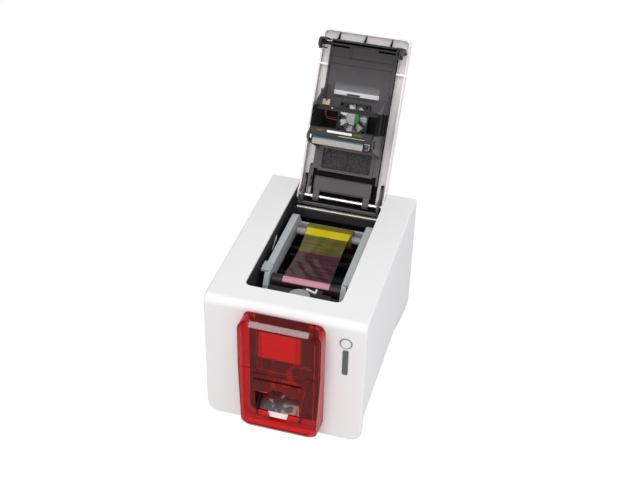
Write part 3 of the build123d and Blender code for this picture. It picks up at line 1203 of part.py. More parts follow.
with BuildPart() as lid_frame:
    slab(-LID_FRAME_HALF, LID_FRAME_HALF, BAND_Y0, PANE_Y1, LID_FLOOR_Z, FRAME_TOP)
    slab(-LID_FRAME_HALF, LID_FRAME_HALF, FRAME_FRONT_Y, BAND_Y0 + 1, LID_SKIN_Z - 2.5, LID_SKIN_Z - 0.8)
    slab(-LID_FRAME_HALF, LID_FRAME_HALF, BAND_Y0 - 1.2, BAND_Y0, LID_FLOOR_Z - BAND_H, LID_SKIN_Z - 1)
    slab(-LID_FRAME_HALF, LID_FRAME_HALF, PANE_Y1 - 2, RECESS_Y1, LID_FLOOR_Z + 4, FRAME_TOP + 4)
    flap = [
        (RECESS_Y1 - 1, LID_FLOOR_Z + 6),
        (RECESS_Y1 - 1, FLAP_Z + 1.5),
        (RECESS_Y1 + 1, FLAP_Z),
        (FLAP_Y1 - 3, FLAP_Z + 0.6),
        (FLAP_Y1 - 0.6, FLAP_Z + 2.4),
        (FLAP_Y1 + 0.6, FLAP_Z + 6),
        (FLAP_Y1 + 0.6, FLAP_Z + 9),
        (FLAP_Y1 - 1.4, FLAP_Z + 9),
        (FLAP_Y1 - 1.8, FLAP_Z + 4.5),
        (FLAP_Y1 - 4, FLAP_Z + 2.6),
        (RECESS_Y1 + 1, FLAP_Z + 2),
        (RECESS_Y1 + 1, LID_FLOOR_Z + 6),
    ]
    side_plate(-FLAP_HALF, FLAP_HALF, flap)
    slab(-LID_FRAME_HALF, LID_FRAME_HALF, FRAME_FRONT_Y, FRAME_FRONT_Y + 2, LID_FLOOR_Z, LID_SKIN_Z)
    slab(-41, 43, FRAME_FRONT_Y, FRAME_FRONT_Y + 2.6, LID_FLOOR_Z - 3, LID_FLOOR_Z + 1)
    slab(-CHEEK_OUT, CHEEK_OUT, BAND_Y0, BAND_Y1, LID_FLOOR_Z - BAND_H, LID_FLOOR_Z)
    slab(-CHEEK_OUT, CHEEK_OUT, BAND_Y1, STEP_Y1, LID_FLOOR_Z - STEP_H, LID_FLOOR_Z)
    for x in GUSSET_X:
        gusset = [
            (FRAME_FRONT_Y + 0.1, LID_FLOOR_Z - 1),
            (FRAME_FRONT_Y + 0.1, LID_SKIN_Z - 0.2),
            (LID_FRONT_Y + LID_T + 0.6, LID_SKIN_Z - 0.2),
        ]
        side_plate(x - 0.6, x + 0.6, gusset)
    with BuildSketch(Plane.XZ.offset(-(FRAME_FRONT_Y + 7.5))):
        with BuildLine():
            Polyline(
                (-20, LID_FLOOR_Z + 1),
                (-20, LID_FLOOR_Z - BAND_H),
                (-14, LID_FLOOR_Z - 3.3),
                (14, LID_FLOOR_Z - 3.3),
                (20, LID_FLOOR_Z - BAND_H),
                (20, LID_FLOOR_Z + 1),
                close=True,
            )
        make_face()
    extrude(amount=-(BAND_Y1 - FRAME_FRONT_Y - 7.5))
    with BuildSketch(Plane.YZ.offset(-LINING_HALF)):
        with BuildLine():
            inner = LINING_R - LINING_T
            ThreePointArc(skirt_point(LINING_R, 85), skirt_point(LINING_R, 38), skirt_point(LINING_R, -8))
            Line(skirt_point(LINING_R, -8), skirt_point(inner, -8))
            ThreePointArc(skirt_point(inner, -8), skirt_point(inner, 38), skirt_point(inner, 85))
            Line(skirt_point(inner, 85), skirt_point(LINING_R, 85))
        make_face()
    extrude(amount=2 * LINING_HALF)
    liner_z = HINGE_Z + LINING_R - LINING_T
    slab(-LID_FRAME_HALF, LID_FRAME_HALF, RECESS_Y1 - 1, HINGE_Y + 1, liner_z, liner_z + LINING_T)
    for i in range(9):
        x = -24 + 6 * i
        slab(x - 0.5, x + 0.5, FLAP_Y1 - 1, HINGE_Y - 1, HINGE_Z + LINING_R - 3, HINGE_Z + LINING_R - 1)
    for side in (-1, 1):
        frame_x = min(side * LID_FRAME_HALF, side * (LID_FRAME_HALF - 2))
        slab(frame_x, frame_x + 2, FRAME_FRONT_Y, RECESS_Y1, LID_FLOOR_Z, LID_SKIN_Z)
        slab(frame_x, frame_x + 2, FRAME_FRONT_Y + 4, TIE_Y - 26, LID_FLOOR_Z - 3, LID_FLOOR_Z)
        rod(frame_x - 1, frame_x + 3, LATCH_Y, LATCH_Z, LATCH_R + RUN, Mode.SUBTRACT)
        cheek_x = min(side * CHEEK_IN, side * CHEEK_OUT)
        cheek = [
            (TIE_Y - 32, LID_FLOOR_Z + 1),
            (TIE_Y - 27.5, LID_FLOOR_Z - 10),
            (TIE_Y - 12, TIE_Z + 10),
            (TIE_Y - 4, TIE_Z - 4),
            (TIE_Y + 6, TIE_Z - 5),
            (HEAD_PIVOT_Y - 12, TIE_Z - 8),
            (HEAD_PIVOT_Y - 5, HEAD_PIVOT_Z - 7.5),
            (HEAD_PIVOT_Y + 5, HEAD_PIVOT_Z - 7.5),
            (HEAD_PIVOT_Y + 9, HEAD_PIVOT_Z),
            (PANE_Y0 + 1, LID_FLOOR_Z - 12),
            (PANE_Y0 + 6, LID_FLOOR_Z + 1),
        ]
        side_plate(cheek_x, cheek_x + CHEEK_T, cheek)
        edge_x = min(side * CHEEK_IN, side * (CHEEK_OUT + 1.8))
        slab(edge_x, edge_x + CHEEK_T + 1.8, TIE_Y - 5, HEAD_PIVOT_Y - 13, TIE_Z - 4.5, TIE_Z - 2.5)
        slab(edge_x, edge_x + CHEEK_T + 1.8, TIE_Y - 24, HEAD_PIVOT_Y - 13, TIE_Z + 28, TIE_Z + 30)
        if side > 0:
            opening = [
                (TIE_Y - 20, LID_FLOOR_Z - 5),
                (TIE_Y - 2, TIE_Z + 11),
                (TIE_Y + 5, LID_FLOOR_Z - 5),
            ]
            side_plate(cheek_x - 1, cheek_x + CHEEK_T + 1, opening, Mode.SUBTRACT)
        rod(cheek_x - 1, cheek_x + 3, HEAD_PIVOT_Y, HEAD_PIVOT_Z, 2.5 + RUN, Mode.SUBTRACT)
        for x in (side * KNUCKLE_X, side * 53.5):
            near = x == side * KNUCKLE_X
            half = 4 if near else 1.5
            rod(x - half, x + half, HINGE_Y, HINGE_Z, KNUCKLE_R if near else LINING_R - 0.2)
            arm = [
                (RECESS_Y1 - 2, LID_FLOOR_Z + 3),
                (HINGE_Y - 4, HINGE_Z - 4),
                (HINGE_Y - 1, HINGE_Z + 6),
                (RECESS_Y1 - 2, LID_FLOOR_Z + 9),
            ]
            side_plate(x - half, x + half, arm)
            rod(x - half - 1, x + half + 1, HINGE_Y, HINGE_Z, SHAFT_R + RUN, Mode.SUBTRACT)
    slab(-LID_FRAME_HALF - LEVER_W, -LID_FRAME_HALF, PANE_Y1 - 2, RECESS_Y1 + 15, LID_FLOOR_Z + 1, LID_FLOOR_Z + 8)
    rod(-LID_FRAME_HALF - LEVER_W, -LID_FRAME_HALF, PANE_Y1 - 2, LID_FLOOR_Z + 4.5, 3.5)
    rod(-20.5, 20.5, LATCH_Y, LATCH_Z, LATCH_R + GAP, Mode.SUBTRACT)
    slab(WINDOW_X0, WINDOW_X1, PANE_Y0 + 2, PANE_Y1 - 2, LID_FLOOR_Z - 1, FRAME_TOP + 1, Mode.SUBTRACT)
    with BuildSketch(Plane.XY.offset(LID_FLOOR_Z - 2)):
        with Locations(((WINDOW_X0 + WINDOW_X1) / 2, (PANE_Y0 + PANE_Y1) / 2)):
            Rectangle(WINDOW_X1 - WINDOW_X0 + 2 * PANE_RIDGE, PANE_Y1 - PANE_Y0 - 4 + 2 * PANE_RIDGE)
            Rectangle(WINDOW_X1 - WINDOW_X0, PANE_Y1 - PANE_Y0 - 4, mode=Mode.SUBTRACT)
    extrude(amount=3)
    post(FAN_X, FAN_Y, LID_FLOOR_Z - 1, FRAME_TOP + 1, FAN_BORE_R, Mode.SUBTRACT)
    for x in (-35, 0, 35):
        post(x, TIE_Y - 51, LID_FLOOR_Z - 0.5, LID_FLOOR_Z + 0.6, 3.2, Mode.SUBTRACT)
lid_frame_open = opened(lid_frame.part)
lid_frame_open.label = "lid_frame"
export_step(lid_frame_open, "parts/lid_frame.step")

with BuildPart() as window_panel:
    slab(WINDOW_X0 - 1, WINDOW_X1 + 1, PANE_Y0 + 1, PANE_Y1 - 2.2, FRAME_TOP, FRAME_TOP + 1.5)
window_panel_open = opened(window_panel.part)
window_panel_open.label = "window_panel"
export_step(window_panel_open, "parts/window_panel.step")

with BuildPart() as sensor_plate:
    plate_y = TIE_Y - 36.5
    slab(-32, 30, plate_y, plate_y + 19.5, LID_FLOOR_Z - 0.8, LID_FLOOR_Z)
    slab(-31, 28, plate_y + 14, plate_y + 19.5, LID_FLOOR_Z - 2.6, LID_FLOOR_Z - 0.8)
sensor_plate_open = opened(sensor_plate.part)
sensor_plate_open.label = "sensor_plate"
export_step(sensor_plate_open, "parts/sensor_plate.step")

with BuildPart() as tie_bar:
    channel = [
        (TIE_Y - TIE_HALF, TIE_Z),
        (TIE_Y - TIE_HALF + 0.9, TIE_Z),
        (TIE_Y - TIE_HALF + 0.9, TIE_Z + TIE_H - 0.9),
        (TIE_Y + TIE_HALF - 0.9, TIE_Z + TIE_H - 0.9),
        (TIE_Y + TIE_HALF - 0.9, TIE_Z),
        (TIE_Y + TIE_HALF, TIE_Z),
        (TIE_Y + TIE_HALF, TIE_Z + TIE_H),
        (TIE_Y - TIE_HALF, TIE_Z + TIE_H),
    ]
    side_plate(-CHEEK_IN, CHEEK_IN, channel)
tie_bar_open = opened(tie_bar.part)
tie_bar_open.label = "tie_bar"
export_step(tie_bar_open, "parts/tie_bar.step")

FAN_Z0 = LID_FLOOR_Z - FAN_T
with BuildPart() as fan_frame:
    with BuildSketch(Plane.XY.offset(FAN_Z0)):
        with Locations((FAN_X, FAN_Y)):
            RectangleRounded(FAN_SIZE, FAN_SIZE, 3)
            Circle(FAN_BORE_R, mode=Mode.SUBTRACT)
            with GridLocations(FAN_SIZE - 8, FAN_SIZE - 8, 2, 2):
                Circle(1.7, mode=Mode.SUBTRACT)
    extrude(amount=FAN_T)
    with BuildSketch(Plane.XY.offset(LID_FLOOR_Z - 1.4)):
        with Locations((FAN_X, FAN_Y)):
            Circle(FAN_HUB_R - 1)
            with PolarLocations(FAN_BORE_R / 2 + 3, 3, 30):
                Rectangle(FAN_BORE_R - 3, 2.2)
    extrude(amount=1.4)
    post(FAN_X, FAN_Y, FAN_Z0 + 3, LID_FLOOR_Z, 1.5)
fan_frame_open = opened(fan_frame.part)
fan_frame_open.label = "fan_frame"
export_step(fan_frame_open, "parts/fan_frame.step")


def fan_blade():
    """One blade, from its steep root at the hub to its flatter tip."""
    with BuildPart() as blade:
        sections = []
        for reach, chord, pitch in ((FAN_HUB_R - 0.6, 7.0, 48), (FAN_BLADE_R, 9.5, 30)):
            plane = Plane(origin=(FAN_X + reach, FAN_Y, FAN_Z0 + 4.7), x_dir=(0, 1, 0), z_dir=(1, 0, 0))
            with BuildSketch(plane) as section:
                Rectangle(chord, 0.9, rotation=pitch)
            sections.append(section.sketch.face())
        loft(sections)
    return blade.part


with BuildPart() as fan_rotor:
    post(FAN_X, FAN_Y, FAN_Z0 + 0.8, FAN_Z0 + 8.2, FAN_HUB_R)
    one = fan_blade()
    fan_axis = Axis((FAN_X, FAN_Y, 0), (0, 0, 1))
    for i in range(FAN_BLADES):
        add(one.rotate(fan_axis, i * 360 / FAN_BLADES))
    post(FAN_X, FAN_Y, FAN_Z0 + 2.5, LID_FLOOR_Z, 1.5 + RUN, Mode.SUBTRACT)
fan_rotor_open = opened(fan_rotor.part)
fan_rotor_open.label = "fan_rotor"
export_step(fan_rotor_open, "parts/fan_rotor.step")

PLUG_X = -CHEEK_IN + 4.6
PLUG_Y = FAN_Y - 16.6
PLUG_Z = LID_FLOOR_Z - 17
with BuildPart() as fan_plug:
    slab(PLUG_X - 4.6, PLUG_X + 4.6, PLUG_Y - 1.5, PLUG_Y + 3.5, PLUG_Z, PLUG_Z + 5)
    for side in (-1, 1):
        slab(
            PLUG_X + side * 3.1 - 1.5,
            PLUG_X + side * 3.1 + 1.5,
            PLUG_Y - 4,
            PLUG_Y - 1,
            PLUG_Z,
            PLUG_Z + 3.5,
        )
fan_plug_open = opened(fan_plug.part)
fan_plug_open.label = "fan_plug"
export_step(fan_plug_open, "parts/fan_plug.step")

LEAD_R = 0.6
with BuildPart() as fan_lead:
    for side in (-1, 1):
        z = PLUG_Z + 3 + side * 0.75
        lead_y = FAN_Y + 4 + side * 1.2
        with BuildLine() as run:
            FilletPolyline(
                (FAN_X - FAN_SIZE / 2, lead_y, z),
                (PLUG_X + side * 0.8, lead_y, z),
                (PLUG_X + side * 0.8, PLUG_Y + 3.5, z),
                radius=3,
            )
        with BuildSketch(Plane(origin=(FAN_X - FAN_SIZE / 2, lead_y, z), z_dir=(-1, 0, 0))):
            Circle(LEAD_R)
        sweep(path=run.line)
fan_lead_open = opened(fan_lead.part)
fan_lead_open.label = "fan_lead"
export_step(fan_lead_open, "parts/fan_lead.step")

# ---------------------------------------------------------------- print head
HEAD_X = -2.3
HEAD_HALF = 34.0
CARRIER_HALF = CHEEK_IN - 1.0
HEAD_Z = PATH_Z + CARD_T + 0.1
HEAD_Y0 = PLATEN_Y - 19.5
HEAD_Y1 = PLATEN_Y + 2.6
HEAD_BAR_W = 7.5
HEAD_BOARD_T = 2.0
with BuildPart() as head_carrier:
    outline = [
        (HEAD_Y0, HEAD_Z + 5),
        (HEAD_Y1 - HEAD_BAR_W - HEAD_BOARD_T, HEAD_Z + 5),
        (HEAD_Y1 - HEAD_BAR_W - HEAD_BOARD_T, HEAD_Z + 7),
        (HEAD_Y1, HEAD_Z + 7),
        (HEAD_Y1, HEAD_Z + 20),
        (HEAD_Y1 - 5, HEAD_Z + 24),
        (HEAD_Y0, HEAD_Z + 24),
    ]
    side_plate(-CARRIER_HALF, CARRIER_HALF, outline)
    slab(-CARRIER_HALF + 4, CARRIER_HALF - 4, HEAD_Y0 + 3, HEAD_Y1 - 6, HEAD_Z + 12, HEAD_Z + 25, Mode.SUBTRACT)
    for side in (-1, 1):
        x0 = min(side * (CARRIER_HALF - 2), side * (LID_FRAME_HALF - 0.4))
        rod(x0, x0 + LID_FRAME_HALF - 0.4 - CARRIER_HALF + 2, HEAD_PIVOT_Y, HEAD_PIVOT_Z, 2.5)
        knob = min(side * (CHEEK_OUT + 0.2), side * (LID_FRAME_HALF - 0.2))
        rod(knob, knob + LID_FRAME_HALF - 0.4 - CHEEK_OUT, HEAD_PIVOT_Y, HEAD_PIVOT_Z, 5.2)
head_carrier_open = opened(head_carrier.part)
head_carrier_open.label = "head_carrier"
export_step(head_carrier_open, "parts/head_carrier.step")

with BuildPart() as head_heat_sink:
    with BuildSketch(Plane.YZ.offset(HEAD_X - HEAD_HALF)) as bar:
        with BuildLine():
            Polyline(
                (HEAD_Y1 - HEAD_BAR_W, HEAD_Z + 0.4),
                (HEAD_Y1, HEAD_Z + 0.4),
                (HEAD_Y1, HEAD_Z + 7),
                (HEAD_Y1 - HEAD_BAR_W, HEAD_Z + 7),
                close=True,
            )
        make_face()
        fillet(bar.vertices().group_by(Axis.Y)[0], 0.3)
    extrude(amount=2 * HEAD_HALF)
head_heat_sink_open = opened(head_heat_sink.part)
head_heat_sink_open.label = "head_heat_sink"
export_step(head_heat_sink_open, "parts/head_heat_sink.step")

with BuildPart() as head_board:
    left = HEAD_X - HEAD_HALF
    right = HEAD_X + HEAD_HALF
    board_y = HEAD_Y1 - HEAD_BAR_W - HEAD_BOARD_T
    slab(left, right, board_y, board_y + HEAD_BOARD_T, HEAD_Z + 1.0, HEAD_Z + 7)
head_board_open = opened(head_board.part)
head_board_open.label = "head_board"
export_step(head_board_open, "parts/head_board.step")

# ---------------------------------------------------------------- latch
with BuildPart() as lid_latch:
    rod(-LATCH_HALF, LATCH_HALF, LATCH_Y, LATCH_Z, LATCH_R)
    for hook_x0, hook_x1 in HOOK_SPANS:
        side = 1 if hook_x0 > 0 else -1
        hook = [
            (LATCH_Y - 6, LATCH_Z + 1),
            (LATCH_Y - 4.5, LATCH_Z + 2.4),
            (LATCH_Y + 2.5, LATCH_Z + 2.4),
            (LATCH_Y + 3, LATCH_Z - 15),
            (LATCH_Y + 8.5, LATCH_Z - 17),
            (LATCH_Y + 9.5, LATCH_Z - 20),
            (LATCH_Y + 4, LATCH_Z - 30),
            (LATCH_Y - 3, LATCH_Z - 29),
            (LATCH_Y - 6, LATCH_Z - 22),
        ]
        side_plate(hook_x0, hook_x1, hook)
        web_in = side * (LID_FRAME_HALF + 1)
        web_out = side * (abs(hook_x0 + hook_x1) / 2)
        web_low = min(web_in, web_out)
        web_high = max(web_in, web_out)
        slab(web_low, web_high, LATCH_Y - 6, LATCH_Y - 3.8, LATCH_Z - 27, LATCH_Z + 1)
        slab(web_low, web_high, LATCH_Y + 6.5, LATCH_Y + 8.4, LATCH_Z - 20, LATCH_Z - 17.4)
        rod(web_low, web_high, LATCH_Y, LATCH_Z, LATCH_R + 1)
lid_latch_open = opened(lid_latch.part)
lid_latch_open.label = "lid_latch"
export_step(lid_latch_open, "parts/lid_latch.step")
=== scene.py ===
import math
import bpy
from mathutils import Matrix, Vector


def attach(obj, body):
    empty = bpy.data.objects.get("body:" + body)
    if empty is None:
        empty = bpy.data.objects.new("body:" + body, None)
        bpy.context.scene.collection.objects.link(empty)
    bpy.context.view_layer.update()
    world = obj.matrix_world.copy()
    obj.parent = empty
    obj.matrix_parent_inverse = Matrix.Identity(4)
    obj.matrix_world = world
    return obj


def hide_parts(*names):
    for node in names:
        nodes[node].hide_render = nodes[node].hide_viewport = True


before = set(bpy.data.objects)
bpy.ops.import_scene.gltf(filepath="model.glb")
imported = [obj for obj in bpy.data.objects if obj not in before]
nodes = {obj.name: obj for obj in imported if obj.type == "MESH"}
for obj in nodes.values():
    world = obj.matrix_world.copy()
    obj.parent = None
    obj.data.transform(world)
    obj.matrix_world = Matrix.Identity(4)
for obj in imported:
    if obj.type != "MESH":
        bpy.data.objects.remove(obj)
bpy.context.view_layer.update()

# %% [markdown]
# # An id card printer with its lid open
# The printer is a white plastic box that stands on a desk. Its lid is open, so the film
# cassette, the rollers and the print head show, and two clear red covers on the front
# keep the blank cards and catch the printed one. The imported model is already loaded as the
# frame: every rigid part is there in metres, so this script gives each one its finish and
# adds what is too small or too soft to be a rigid part.

scene = bpy.context.scene
scene.view_settings.view_transform = "Standard"

# %% [markdown]
# ## Camera
# The photograph looks down on the printer from its front right corner, from about a metre
# and a half away, with a lens that is a little longer than normal. The place and the turn
# of the camera were solved from the corners of the casing, so no shift is needed.

# %% Camera
camera_data = bpy.data.cameras.new("camera")
camera_data.sensor_width = 36.0
camera_data.lens = 66.2
camera_data.clip_start = 0.05
camera = bpy.data.objects.new("camera", camera_data)
camera.location = (0.3122, -1.168, 1.0942)
camera.rotation_euler = [math.radians(a) for a in (53.583, -1.318, 15.704)]
scene.collection.objects.link(camera)
scene.camera = camera
print("camera is", round(camera.location.length, 2), "m from the middle of the base")

# %% [markdown]
# ## Floor, lamps and background
# A product picture is taken on a white sweep between large soft boxes. The floor is pale
# and keeps the printer's shadow. Where the camera or a clear wall looks at it, most of its
# light is its own, so it reads as white without any more light on the printer.
# The small bevel box stands where the upper bevel of the red cover mirrors it.

# %% Floor
def white_to_eye(tree, share):
    path = tree.nodes.new("ShaderNodeLightPath")
    rays = tree.nodes.new("ShaderNodeMath")
    rays.operation = "MAXIMUM"
    tree.links.new(path.outputs["Is Camera Ray"], rays.inputs[0])
    tree.links.new(path.outputs["Is Transmission Ray"], rays.inputs[1])
    weight = tree.nodes.new("ShaderNodeMath")
    weight.operation = "MULTIPLY"
    weight.inputs[1].default_value = share
    tree.links.new(rays.outputs[0], weight.inputs[0])
    return weight.outputs[0]


def white_sweep():
    material = bpy.data.materials.new("white sweep")
    material.use_nodes = True
    tree = material.node_tree
    shader = tree.nodes["Principled BSDF"]
    shader.inputs["Base Color"].default_value = (0.8, 0.8, 0.8, 1)
    shader.inputs["Roughness"].default_value = 0.9
    glow = tree.nodes.new("ShaderNodeEmission")
    glow.inputs["Color"].default_value = (1, 1, 1, 1)
    glow.inputs["Strength"].default_value = 1.09
    seen = white_to_eye(tree, 0.86)
    blend = tree.nodes.new("ShaderNodeMixShader")
    tree.links.new(seen, blend.inputs["Fac"])
    tree.links.new(shader.outputs[0], blend.inputs[1])
    tree.links.new(glow.outputs[0], blend.inputs[2])
    tree.links.new(blend.outputs[0], tree.nodes["Material Output"].inputs["Surface"])
    return material


bpy.ops.object.select_all(action="DESELECT")
bpy.ops.mesh.primitive_plane_add(size=8, location=(0, 0.6, 0))
floor = bpy.context.object
floor.name = "floor"
floor.data.materials.append(white_sweep())

world = bpy.data.worlds.new("studio")
world.use_nodes = True
scene.world = world
sky = world.node_tree.nodes["Background"]
sky.inputs["Color"].default_value = (1, 1, 1, 1)
sky.inputs["Strength"].default_value = 0.5
seen_sky = world.node_tree.nodes.new("ShaderNodeBackground")
seen_sky.inputs["Color"].default_value = (1, 1, 1, 1)
seen_sky.inputs["Strength"].default_value = 1.0
sky_mix = world.node_tree.nodes.new("ShaderNodeMixShader")
world.node_tree.links.new(white_to_eye(world.node_tree, 1.0), sky_mix.inputs["Fac"])
world.node_tree.links.new(sky.outputs[0], sky_mix.inputs[1])
world.node_tree.links.new(seen_sky.outputs[0], sky_mix.inputs[2])
world.node_tree.links.new(sky_mix.outputs[0], world.node_tree.nodes["World Output"].inputs["Surface"])

# %% Soft boxes
def soft_box(name, place, target, width, height, watts, colour=(1, 1, 1)):
    lamp = bpy.data.lights.new(name, "AREA")
    lamp.shape = "RECTANGLE"
    lamp.size = width
    lamp.size_y = height
    lamp.energy = watts
    lamp.color = colour
    box = bpy.data.objects.new(name, lamp)
    box.location = place
    box.rotation_euler = (Vector(target) - Vector(place)).to_track_quat("-Z", "Y").to_euler()
    scene.collection.objects.link(box)
    return box


MIDDLE = (0, 0, 0.12)
soft_box("top box", (0.1, -0.7, 1.75), MIDDLE, 1.6, 1.6, 17)
soft_box("front box", (-0.42, -1.9, 0.98), MIDDLE, 1.3, 0.55, 5, (1, 0.92, 0.91))
soft_box("right box", (1.7, -0.2, 0.8), MIDDLE, 0.9, 1.1, 7, (0.93, 0.94, 1))
soft_box("bevel box", (-0.39, -1.75, 0.80), (0, -0.15, 0.18), 0.38, 0.11, 2.2, (1, 0.90, 0.91))

# %% [markdown]
# ## Finishes
# Nearly everything here is moulded plastic. A real moulding is never one flat colour: it
# has a fine spark-eroded grain, a very faint drift in shade, and a sheen that changes
# where it has been handled. That is built once as a shader group, and each plastic places
# it with its own values. It puts out only a colour, a roughness and a height.

# %% The moulded skin group
def new_socket(group, name, way, kind, value=None):
    socket = group.interface.new_socket(name=name, in_out=way, socket_type=kind)
    if value is not None:
        socket.default_value = value
    return socket


def moulded_skin():
    group = bpy.data.node_groups.new("moulded skin", "ShaderNodeTree")
    new_socket(group, "Colour", "INPUT", "NodeSocketColor", (0.8, 0.8, 0.8, 1))
    new_socket(group, "Drift", "INPUT", "NodeSocketFloat", 0.04)
    new_socket(group, "Grain size", "INPUT", "NodeSocketFloat", 1800.0)
    new_socket(group, "Roughness", "INPUT", "NodeSocketFloat", 0.4)
    new_socket(group, "Handling", "INPUT", "NodeSocketFloat", 0.06)
    new_socket(group, "Colour", "OUTPUT", "NodeSocketColor")
    new_socket(group, "Roughness", "OUTPUT", "NodeSocketFloat")
    new_socket(group, "Height", "OUTPUT", "NodeSocketFloat")
    entry = group.nodes.new("NodeGroupInput")
    leave = group.nodes.new("NodeGroupOutput")
    place = group.nodes.new("ShaderNodeTexCoord")
    grain = group.nodes.new("ShaderNodeTexNoise")
    grain.inputs["Detail"].default_value = 3
    drift = group.nodes.new("ShaderNodeTexNoise")
    drift.inputs["Scale"].default_value = 11
    drift.inputs["Detail"].default_value = 4
    shade = group.nodes.new("ShaderNodeMapRange")
    swing = group.nodes.new("ShaderNodeMath")
    swing.operation = "SUBTRACT"
    swing.inputs[0].default_value = 1.0
    dull = group.nodes.new("ShaderNodeMix")
    dull.data_type = "RGBA"
    dull.blend_type = "MULTIPLY"
    dull.inputs["Factor"].default_value = 1.0
    touch = group.nodes.new("ShaderNodeMath")
    touch.operation = "MULTIPLY_ADD"
    link = group.links.new
    link(place.outputs["Object"], grain.inputs["Vector"])
    link(entry.outputs["Grain size"], grain.inputs["Scale"])
    link(place.outputs["Object"], drift.inputs["Vector"])
    link(entry.outputs["Drift"], swing.inputs[1])
    link(drift.outputs["Fac"], shade.inputs["Value"])
    link(swing.outputs[0], shade.inputs["To Min"])
    link(entry.outputs["Colour"], dull.inputs[6])
    link(shade.outputs[0], dull.inputs[7])
    link(drift.outputs["Fac"], touch.inputs[0])
    link(entry.outputs["Handling"], touch.inputs[1])
    link(entry.outputs["Roughness"], touch.inputs[2])
    link(dull.outputs[2], leave.inputs["Colour"])
    link(touch.outputs[0], leave.inputs["Roughness"])
    link(grain.outputs["Fac"], leave.inputs["Height"])
    return group


SKIN = moulded_skin()
print("the skin group has", len(SKIN.nodes), "nodes")

# %% Plastics made with it
def plastic(
    name, colour, roughness=0.4, grain=1800.0, depth=0.00002, drift=0.05, handling=0.06, coat=0.0
):
    material = bpy.data.materials.new(name)
    material.use_nodes = True
    tree = material.node_tree
    shader = tree.nodes["Principled BSDF"]
    skin = tree.nodes.new("ShaderNodeGroup")
    skin.node_tree = SKIN
    skin.inputs["Colour"].default_value = (*colour, 1)
    skin.inputs["Drift"].default_value = drift
    skin.inputs["Grain size"].default_value = grain
    skin.inputs["Roughness"].default_value = roughness
    skin.inputs["Handling"].default_value = handling
    bump = tree.nodes.new("ShaderNodeBump")
    bump.inputs["Distance"].default_value = depth
    tree.links.new(skin.outputs["Colour"], shader.inputs["Base Color"])
    tree.links.new(skin.outputs["Roughness"], shader.inputs["Roughness"])
    tree.links.new(skin.outputs["Height"], bump.inputs["Height"])
    tree.links.new(bump.outputs["Normal"], shader.inputs["Normal"])
    shader.inputs["Coat Weight"].default_value = coat
    return material


def finish(material, *names):
    for name in names:
        part = nodes[name]
        part.data.materials.clear()
        part.data.materials.append(material)


casing_white = plastic("casing white", (0.84, 0.835, 0.84), 0.32, 2600, 0.00001, 0.02, 0.05)
lid_white = plastic("lid inner white", (0.90, 0.87, 0.87), 0.45, 2200, 0.00002, 0.05)
black_abs = plastic("black abs", (0.035, 0.034, 0.036), 0.42, 1500, 0.00004, 0.25, 0.1)
tub_black = plastic("tub black", (0.022, 0.022, 0.024), 0.5, 1500, 0.00004, 0.25, 0.1)
fine_black = plastic("glossy black", (0.02, 0.02, 0.022), 0.28, 1800, 0.00002, 0.2, 0.1)
rail_grey = plastic("cassette grey", (0.50, 0.53, 0.54), 0.4, 1700, 0.00003, 0.08)
core_grey = plastic("core grey", (0.33, 0.33, 0.37), 0.45, 1700, 0.00003, 0.1)
card_white = plastic("blank cards", (0.86, 0.86, 0.86), 0.3, 900, 0.00001, 0.02)
knob_white = plastic("button white", (0.82, 0.82, 0.83), 0.35, 1800, 0.00001, 0.03)
nylon = plastic("white nylon", (0.75, 0.75, 0.73), 0.5, 1500, 0.00002, 0.05)
cream = plastic("connector cream", (0.78, 0.67, 0.42), 0.45, 1500, 0.00002, 0.08)
rubber = plastic("foot rubber", (0.025, 0.025, 0.026), 0.8, 900, 0.0001, 0.3, 0.05)
roller_rubber = plastic("roller rubber", (0.03, 0.03, 0.032), 0.62, 1100, 0.00006, 0.2)
for black in (black_abs, tub_black, fine_black):
    black.node_tree.nodes["Principled BSDF"].inputs["Specular IOR Level"].default_value = 0.3
finish(casing_white, "outer_casing", "rear_panel")
finish(lid_white, "lid_shell", "lid_front_cap")
finish(black_abs, "rear_cross_beam", "head_carrier", "lid_latch", "tie_bar")
finish(tub_black, "bay_tub", "feeder_housing", "base_tray", "output_hopper", "cassette_front_bar")
finish(fine_black, "fan_frame", "takeup_core", "power_inlet", "network_socket", "drive_motor")
finish(rail_grey, "cassette_frame")
finish(core_grey, "supply_core")
finish(card_white, "card_stack")
finish(knob_white, "control_button", "gauge_lever")
finish(nylon, "drive_gear", "motor_pinion", "wall_spring")
finish(cream, "fan_plug")
finish(rubber, "rubber_feet", "drive_belt")
finish(roller_rubber, "platen_roller", "rear_roller", "feed_roller", "drive_roller")
finish(roller_rubber, "front_pinch_roller", "rear_pinch_roller")

